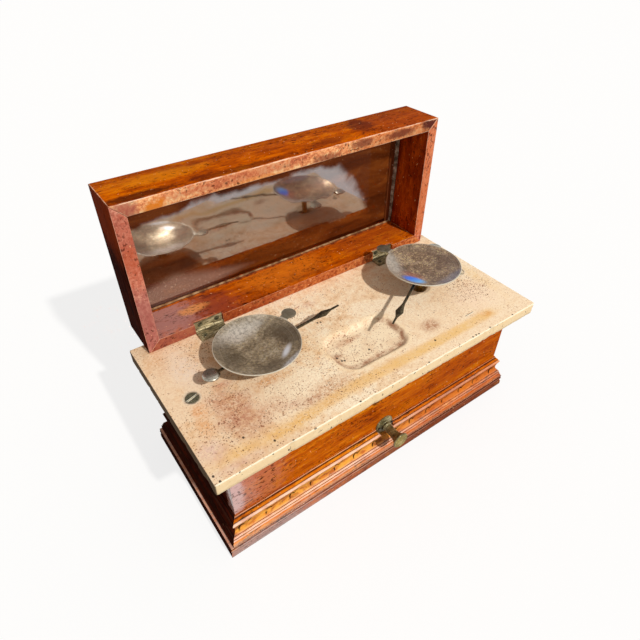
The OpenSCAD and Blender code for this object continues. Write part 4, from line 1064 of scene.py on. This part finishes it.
def panProfile():
    # the wall between two spheres, on a flat foot, with a rounded rim
    p = panShape
    dish = p["high"] - p["thick"]
    big = (p["radius"] ** 2 + dish ** 2) / (2 * dish)
    small = big - p["thick"]
    low = lambda r: big - sqrt(big * big - r * r)
    inside = lambda r: big - sqrt(max(0, small * small - r * r))
    foot, rIn, rOut = p["foot"], p["radius"] - p["rim"], p["radius"]
    profile = [(0, 0), (foot, 0), (foot + 0.4 * mm, low(foot + 0.4 * mm))]
    profile += [(r, low(r)) for r in [foot + (rOut - 0.4 * mm - foot) * i / 16 for i in range(1, 17)]]
    top = p["high"]
    profile += [(rOut, dish * 0.985), (rOut, top - 0.45 * mm), (rOut - 0.25 * mm, top - 0.08 * mm),
                (rOut - 0.6 * mm, top), (rOut - 1.0 * mm, top - 0.15 * mm), (rIn, inside(rIn))]
    profile += [(r, inside(r)) for r in [(rIn - 0.3 * mm) * (1 - i / 18) for i in range(18)]]
    return profile + [(0, inside(0))]


def buildPan(side):
    p, look = panShape, panLooks[side]
    bm = spunMesh(panProfile(), 128)
    for vert in bm.verts:  # slight dents and a not quite true rim
        uneven = noise.noise(Vector((vert.co.x * 38, vert.co.y * 38, look["seed"]))) - 0.35
        far = smooth01(vert.co.xy.length / (30 * mm))
        vert.co.z += p["dent"] * uneven * far * (vert.co.z > 0.3 * mm)
    # thumb tab: a plate with a neck that runs under the rim
    near, far, half = p["radius"] + p["neckFrom"], p["radius"] + p["neckTo"], p["neck"] / 2
    swing = [radians(d) for d in range(-144, 145, 12)]
    arc = [(p["tabOut"] + p["tab"] * cos(t), p["tab"] * sin(t)) for t in swing]
    outline = [(near, -half), (far, -half), *arc, (far, half), (near, half)]
    tab = plateMesh(outline, p["high"] - p["tabDown"] - p["tabThick"], p["tabThick"], p["tabRim"])
    turn(tab, look["turn"])
    addMesh(bm, tab)
    move(bm, (*posts[side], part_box("pan_" + side)[0].z))
    finishPiece(toObject(bm, "dish_" + side, 40), "pan_" + side, "pan_metal", panFinish(side), "pan_" + side)


spiderShape = {"length": 99.5 * mm, "from": 66 * mm, "at": 79.6 * mm, "to": 89 * mm, "wide": 4 * mm,
               "stem": 1.4 * mm, "tip": 0.9 * mm, "thick": 1.4 * mm, "rim": 0.35 * mm,
               "tailAt": -49.2 * mm, "tail": 8 * mm,
               "dome": 1.5 * mm, "seat": 11 * mm, "hub": 6 * mm, "hubHigh": 9 * mm, "bore": 2.56 * mm,
               "gap": 0.15 * mm, "turn": {"left": 5.3, "right": 209.3}}


def pointerOutline():
    # one half from the tail to the tip, with its lozenge, and its mirror image
    s = spiderShape
    half = [(s["tailAt"], s["stem"]), (0, s["stem"]), (s["from"], s["stem"]),
            (s["from"] + 5 * mm, s["stem"] + 0.7 * mm), (s["at"], s["wide"]),
            (s["at"] + 3.5 * mm, s["wide"] * 0.72), (s["to"], s["tip"] * 1.15), (s["length"], s["tip"])]
    return [(x, -y) for x, y in half] + half[::-1]


def buildSpider(side, arms, disc):
    s = spiderShape
    t, r, h, wide, bore = s["thick"], s["hub"], s["hubHigh"], s["seat"], s["bore"]
    bm = plateMesh(pointerOutline(), -t, t, s["rim"])
    addMesh(bm, spunMesh([
        (bore, -h), (r - 0.5 * mm, -h), (r, -h + 0.5 * mm), (r, -h + 3 * mm), (r - 0.6 * mm, -h + 3.6 * mm),
        (r, -h + 4.2 * mm), (r, -t - 1 * mm), (wide - 0.4 * mm, -t), (wide, -t + 0.4 * mm),
        (wide, -0.4 * mm), (wide - 0.5 * mm, 0), (bore, 0)], 48))
    # domed tail disc
    r, d = s["tail"], s["dome"]
    rise = [(r * sin(a) * 0.97, d * cos(a)) for a in [pi / 16 * i for i in range(8, 0, -1)]]
    tail = spunMesh([(0, -t), (r - 0.4 * mm, -t), (r, -t + 0.4 * mm), (r, -0.3 * mm), *rise, (0, d)], 64)
    move(tail, (s["tailAt"], 0, 0))
    place = (*posts[side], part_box("pan_" + side)[0].z - s["gap"])
    for part in (bm, tail):
        turn(part, s["turn"][side])
        move(part, place)
    body = "spider_" + side
    finishPiece(toObject(bm, "pointer_" + side, 40), body, "spider_brass", arms, body)
    finishPiece(toObject(tail, "tailDisc_" + side, 50), body, "spider_brass", disc)


knobShape = {"radius": 8.9 * mm, "long": 23.2 * mm, "neck": 4.6 * mm, "high": 46.4 * mm, "plate": 11 * mm,
             "plateThick": 3.5 * mm, "shaft": 3.06 * mm, "end": 0.035}


def turnedForward(profile, y):
    # an upright turned shape laid along -Y from a face at y
    bm = spunMesh(profile, 72)
    turn(bm, 90, "X")
    move(bm, (0, y, knobShape["high"]))
    return bm


def buildKnob(brass, endBrass):
    k = knobShape
    t, r, bore = k["plateThick"], k["plate"], k["shaft"]
    plate = turnedForward([
        (bore, 0), (r, 0), (r, t * 0.22), (r - 0.3 * mm, t * 0.4), (r - 1.4 * mm, t * 0.58),
        (r - 3.2 * mm, t * 0.74), (r - 4.6 * mm, t * 0.8), (r - 4.9 * mm, t * 0.95), (r - 5.4 * mm, t),
        (bore + 0.4 * mm, t), (bore, t - 0.4 * mm)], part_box("rosette")[1].y)
    finishPiece(toObject(plate, "rosettePlate", 30), "case", "knob_brass", brass, "rosette")
    neck, long, r = k["neck"], k["long"], k["radius"]
    front, back = (corner.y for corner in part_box("knob"))
    knob = turnedForward([
        (0, 0), (neck + 1.0 * mm, 0), (neck + 1.2 * mm, 0.3 * mm), (neck + 1.2 * mm, 1.4 * mm),
        (neck + 0.5 * mm, 2.0 * mm), (neck, 2.8 * mm), (neck - 0.1 * mm, long * 0.3), (neck, long * 0.55),
        (neck + 0.6 * mm, long * 0.68), (neck + 1.9 * mm, long * 0.79), (r - 0.9 * mm, long * 0.87),
        (r - 0.1 * mm, long * 0.9), (r, long * 0.92), (r - 0.05 * mm, long * 0.95),
        (r - 0.5 * mm, long * 0.972), (r - 1.0 * mm, long * 0.978), (r - 1.3 * mm, long * 0.968),
        (r - 2.2 * mm, long * 0.972), (r * 0.45, long * 0.99), (0, long)], back)
    piece = toObject(knob, "turnedKnob", 45)
    finishPiece(piece, "arrest_knob", "knob_brass", brass, "knob")
    atEnd = lambda poly: poly.center.y < front + long * k["end"] and poly.normal.y < -0.5
    secondFinish(piece, endBrass, atEnd)


# the slab's screws: how far each is turned from its CAD place, and the way of its slot
marbleScrews = {"soft": 0.25 * mm, "turns": ((-1, 51), (1, -20)), "slots": ((-1, 16), (1, 15)),
                "slot": 5.6, "shades": ((2.4 * mm, (36, 34, 26)), (1.5 * mm, (250, 244, 224)))}


def buildMarbleScrews():
    # old screws with worn, bright slots
    x = slab["screwX"]
    bm = softenedMesh("marble_screws", marbleScrews["soft"], 50)
    for k, angle in marbleScrews["turns"]:
        turn(bm, angle, "Z", (k * x, 0, 0), [v for v in bm.verts if v.co.x * k > 0])
    tones = ((58, 56, 42), (104, 100, 78), (158, 152, 124))
    mat, shader, vec, colour = metalFinish("marbleScrewMetal", tones, 500, (0.35, 0.6), 0.5)
    flat = stretched(objectCoords(), (1, 1, 0))
    for k, angle in marbleScrews["slots"]:
        way = Vector((cos(radians(angle)), sin(radians(angle)))) * marbleScrews["slot"] * mm
        for wide, shade in marbleScrews["shades"]:
            slot = strokeAt(flat, (k * x - way.x, -way.y), (k * x + way.x, way.y), wide)
            colour = paint(colour, times(slot, 0.85), shade)
    # the right screw's outer side is filled with the slab's dust
    colour = paint(colour, remap(partsOf(vec)[0], 0.1655, 0.1690, 0, 0.9), (226, 204, 170))
    feed(shader, colour=colour)
    finishPiece(toObject(bm, "slabScrews", 30), "case", "screw_steel", mat, "marble_screws")


hingeShape = {"soft": 0.45 * mm, "longEdge": 2 * mm, "lump": 0.22 * mm, "seed": {"left": 3, "right": 8},
              "sunkFrom": 0.1405, "shows": 0.12}


def dressHinges(leafMetal):
    h = hingeShape
    for side in ("left", "right"):
        for part, body in (("lower", "case"), ("upper", "lid")):
            node = "hinge_leaf_" + part + "_" + side
            bm = softenedMesh(node, h["soft"], 40)
            long = [e for e in bm.edges if e.calc_length() > h["longEdge"]]
            bmesh.ops.subdivide_edges(bm, edges=long, cuts=3, use_grid_fill=True)
            cutFlat(bm)
            lumpy(bm, h["lump"], 420, h["seed"][side])
            for vert in bm.verts:  # the upper leaf is let into the lid, little of it shows
                vert.co.z = min(vert.co.z, h["sunkFrom"] + max(0, vert.co.z - h["sunkFrom"]) * h["shows"])
            finishPiece(toObject(bm, "leaf_" + part + "_" + side, 40), body, "hinge_brass", leafMetal, node)


# glass
# the darks are painted shade for the room seen through the pane; the haze colour is haze with a painted
# reflection of the lit slab
glassLook = {"darks": ((0.36, (0.060, 0.011, 0.0024, 1)), (0.5, (0.118, 0.023, 0.004, 1)),
                       (0.66, (0.20, 0.048, 0.0075, 1))),
             "hazeAndReflection": (0.35, 0.185, 0.125, 1), "lip": (0.17, 0.045, 0.014, 1), "dust": (222, 200, 180),
             "border": ((0.04, 0.80), (0.156, 0.74), (0.21, 0.45), (0.26, 0.23), (0.42, 0.30), (0.545, 0.32),
                        (0.64, 0.45), (0.83, 0.35)), "borderLow": 0.15, "borderHigh": 0.21, "mirror": 3.3,
             "topDull": (0.2445, 0.237), "topLeftDull": (-0.07, -0.15, 0, 0.013), "rightDull": (0.250, 0.234),
             "rightLean": 0.69, "hazeAt": (-0.124, 0), "hazeSize": (0.074, 10), "hazeHigh": 0.1545,
             "lipEdge": (0.1535, 0.1555)}


def cleanGlass(vec, xyz):
    # 1 where the pane mirrors the room: below its dull top, left of its dull right, above a wandering border
    look = glassLook
    wave = wander(vec, 0.03, 34, 3, 0.6)
    top = plus(xyz[2], times(wave, 0.6), times(xyz[0], 0.03), remap(xyz[0], *look["topLeftDull"]))
    slope = plus(xyz[0], times(xyz[2], look["rightLean"]), wave)
    border = levelRamp(remap(xyz[0], -0.16, 0.16, soft=False), look["border"])
    border = remap(border, 0, 1, look["borderLow"], look["borderHigh"], soft=False)
    low = remap(plus(minus(xyz[2], border), times(wave, 0.5)), -0.005, 0.002, 0.22, 1.0)
    return plus(times(remap(top, *look["topDull"]), remap(slope, *look["rightDull"]), low, 0.99), 0.01)


def glassFinish():
    # old glass, tinted a dark red-brown as painted shade for the dark room behind it, with a paler band at
    # the lower left, haze with a painted reflection of the lit slab, and a raised mirror where it is clean
    mat, shader = startFinish("oldGlass")
    vec = objectCoords()
    xyz = partsOf(vec)
    film = grainAt(vec, (14, 30, 60), 5, 0.65, 0.6)
    # the dark red-brown tint: painted shade for the room seen through the pane
    colour = ramp(film, glassLook["darks"])
    offMiddle = calc("ABSOLUTE", minus(xyz[2], glassLook["hazeHigh"]))
    hazeAndReflection = spotAt(stretched(vec, (1, 0, 1)), glassLook["hazeAt"], glassLook["hazeSize"])
    hazeAndReflection = remap(plus(hazeAndReflection, times(offMiddle, 58.0)), 1.4, 0.6)
    # the paler band at the lower left: haze with a painted reflection of the lit slab
    colour = blend(times(hazeAndReflection, 0.9), colour, glassLook["hazeAndReflection"])
    lip = remap(xyz[0], *glassLook["lipEdge"])
    colour = blend(lip, colour, glassLook["lip"])
    dust = remap(plus(noiseAt(vec, 420, 2, 0.5), times(hazeAndReflection, 0.06)), 0.69, 0.74)
    colour = paint(colour, times(dust, 0.6), glassLook["dust"])
    ripple = noiseAt(stretched(vec, (1, 1, 1.2)), 17, 2, 0.35, 0.4)
    feed(shader, colour=colour, clear=remap(lip, 0, 1, 0.85, 0.2, soft=False), ior=1.05, spec=0.5,
         rough=remap(film, 0.3, 0.7, 0.05, 0.1), coat=cleanGlass(vec, xyz), coatRough=0.05,
         coatIor=glassLook["mirror"], coatNormal=bumped(shader, ripple, 0.3, 0.002))
    return mat


def puttyFinish(name, tones, start):
    # a wooden bead with a thin line of putty against the glass, from this place in Y on
    mat, shader = startFinish(name)
    vec = objectCoords()
    cloud = noiseAt(vec, 130, 4, 0.65)
    putty = toneRamp(cloud, (0.38, 0.5, 0.62), tones)
    wood = toneRamp(cloud, (0.38, 0.62), ((96, 36, 8), (176, 84, 14)))
    edge = plus(partsOf(vec)[1], wander(vec, 0.0012, 70, 3))
    colour = paint(wood, remap(edge, start - 0.35 * mm, start - 0.1 * mm), (66, 32, 16))
    colour = blend(remap(edge, start, start + 0.4 * mm), colour, putty)
    feed(shader, colour=colour, rough=0.7, spec=0.1)
    bumped(shader, noiseAt(vec, 300, 4, 0.6), 0.6, 0.0004)
    return mat


# three tones, size of the clouds, gloss from and to, metal, flecks, bumps, their height, stretch
metals = {
    "spiderBrass": (((44, 38, 30), (76, 68, 52), (122, 110, 84)), 300, (0.35, 0.6)),
    "tailDiscMetal": (((112, 106, 94), (160, 154, 140), (206, 200, 186)), 260, (0.22, 0.4)),
    "knobBrass": (((56, 50, 30), (112, 102, 64), (190, 180, 136)), 420, (0.25, 0.45), 0.35),
    "knobEndBrass": (((104, 86, 34), (150, 128, 58), (200, 180, 104)), 420, (0.3, 0.55), 0.7),
    "hingeBrass": (((58, 50, 32), (132, 118, 84), (222, 208, 168)), 300, (0.4, 0.7), 0.4,
                   {"size": 240, "from": 0.55, "depth": 0.7, "colour": (218, 206, 168)}, 0.6, 0.0004,
                   (0.3, 1, 1.6)),
    "screwSteel": (((56, 54, 44), (104, 102, 84), (196, 190, 164)), 500, (0.35, 0.6)),
    "darkScrew": (((34, 30, 26), (58, 52, 44), (96, 88, 70)), 500, (0.4, 0.6)),
    "worksBrass": (((128, 98, 44), (172, 138, 70), (206, 176, 108)), 200, (0.28, 0.45)),
    "worksSteel": (((82, 82, 82), (132, 132, 130), (176, 176, 172)), 240, (0.26, 0.42)),
    "agate": (((120, 92, 70), (168, 140, 112), (212, 196, 170)), 300, (0.12, 0.25), 0.0)}
# CAD nodes that keep their shape, by their finish
keptNodes = {
    "glass": ("lid_glass",),
    "puttyTan": ("bead_front", "bead_back", "bead_left"),
    "puttyGrey": ("bead_right",),
    "hingeBrass": ("hinge_pins",),
    "screwSteel": ("hinge_screws_marble", "hinge_screws_lid"),
    "darkScrew": ("rosette_screws", "pedestal_screws"),
    "worksBrass": ("pedestal", "stop_blocks", "beam", "poise_nut", "stirrup_left", "stirrup_right",
                   "post_left", "post_right", "drop_bar_left", "drop_bar_right", "cam", "shaft_bracket"),
    "worksSteel": ("beam_knives", "poise_stud", "stay", "stay_pin", "stay_end_pin_left",
                   "stay_end_pin_right", "shaft", "lifter", "guide_pins"),
    "agate": ("fulcrum_bearings",)}

print("camera and light")
bpy.context.scene.view_settings.view_transform = "Standard"
aimCamera()
hangSun()
lightRoom()
layTable()
print("lid and case wood")
dressLid()
dressCase()
dressPlinth()
print("marble")
finishPiece(buildMarble(), "case", "marble", marbleFinish(), "marble_top")
buildMarbleScrews()
print("pans, spiders, knob, hinges")
finishes = {name: metalFinish(name, *look)[0] for name, look in metals.items()}
for side in ("left", "right"):
    buildPan(side)
    buildSpider(side, finishes["spiderBrass"], finishes["tailDiscMetal"])
buildKnob(finishes["knobBrass"], finishes["knobEndBrass"])
dressHinges(finishes["hingeBrass"])
print("glass, beads and the nodes that keep their shape")
finishes["glass"] = glassFinish()
finishes["puttyTan"] = puttyFinish("puttyTan", ((104, 68, 42), (146, 104, 68), (182, 146, 108)), 115.1 * mm)
finishes["puttyGrey"] = puttyFinish("puttyGrey", ((86, 74, 64), (134, 120, 106), (190, 178, 164)), 114.5 * mm)
for name, kept in keptNodes.items():
    recoat(finishes[name], *kept)

low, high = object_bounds()
{"cad": [list(cadLow), list(cadHigh)], "visual": [list(low), list(high)]}
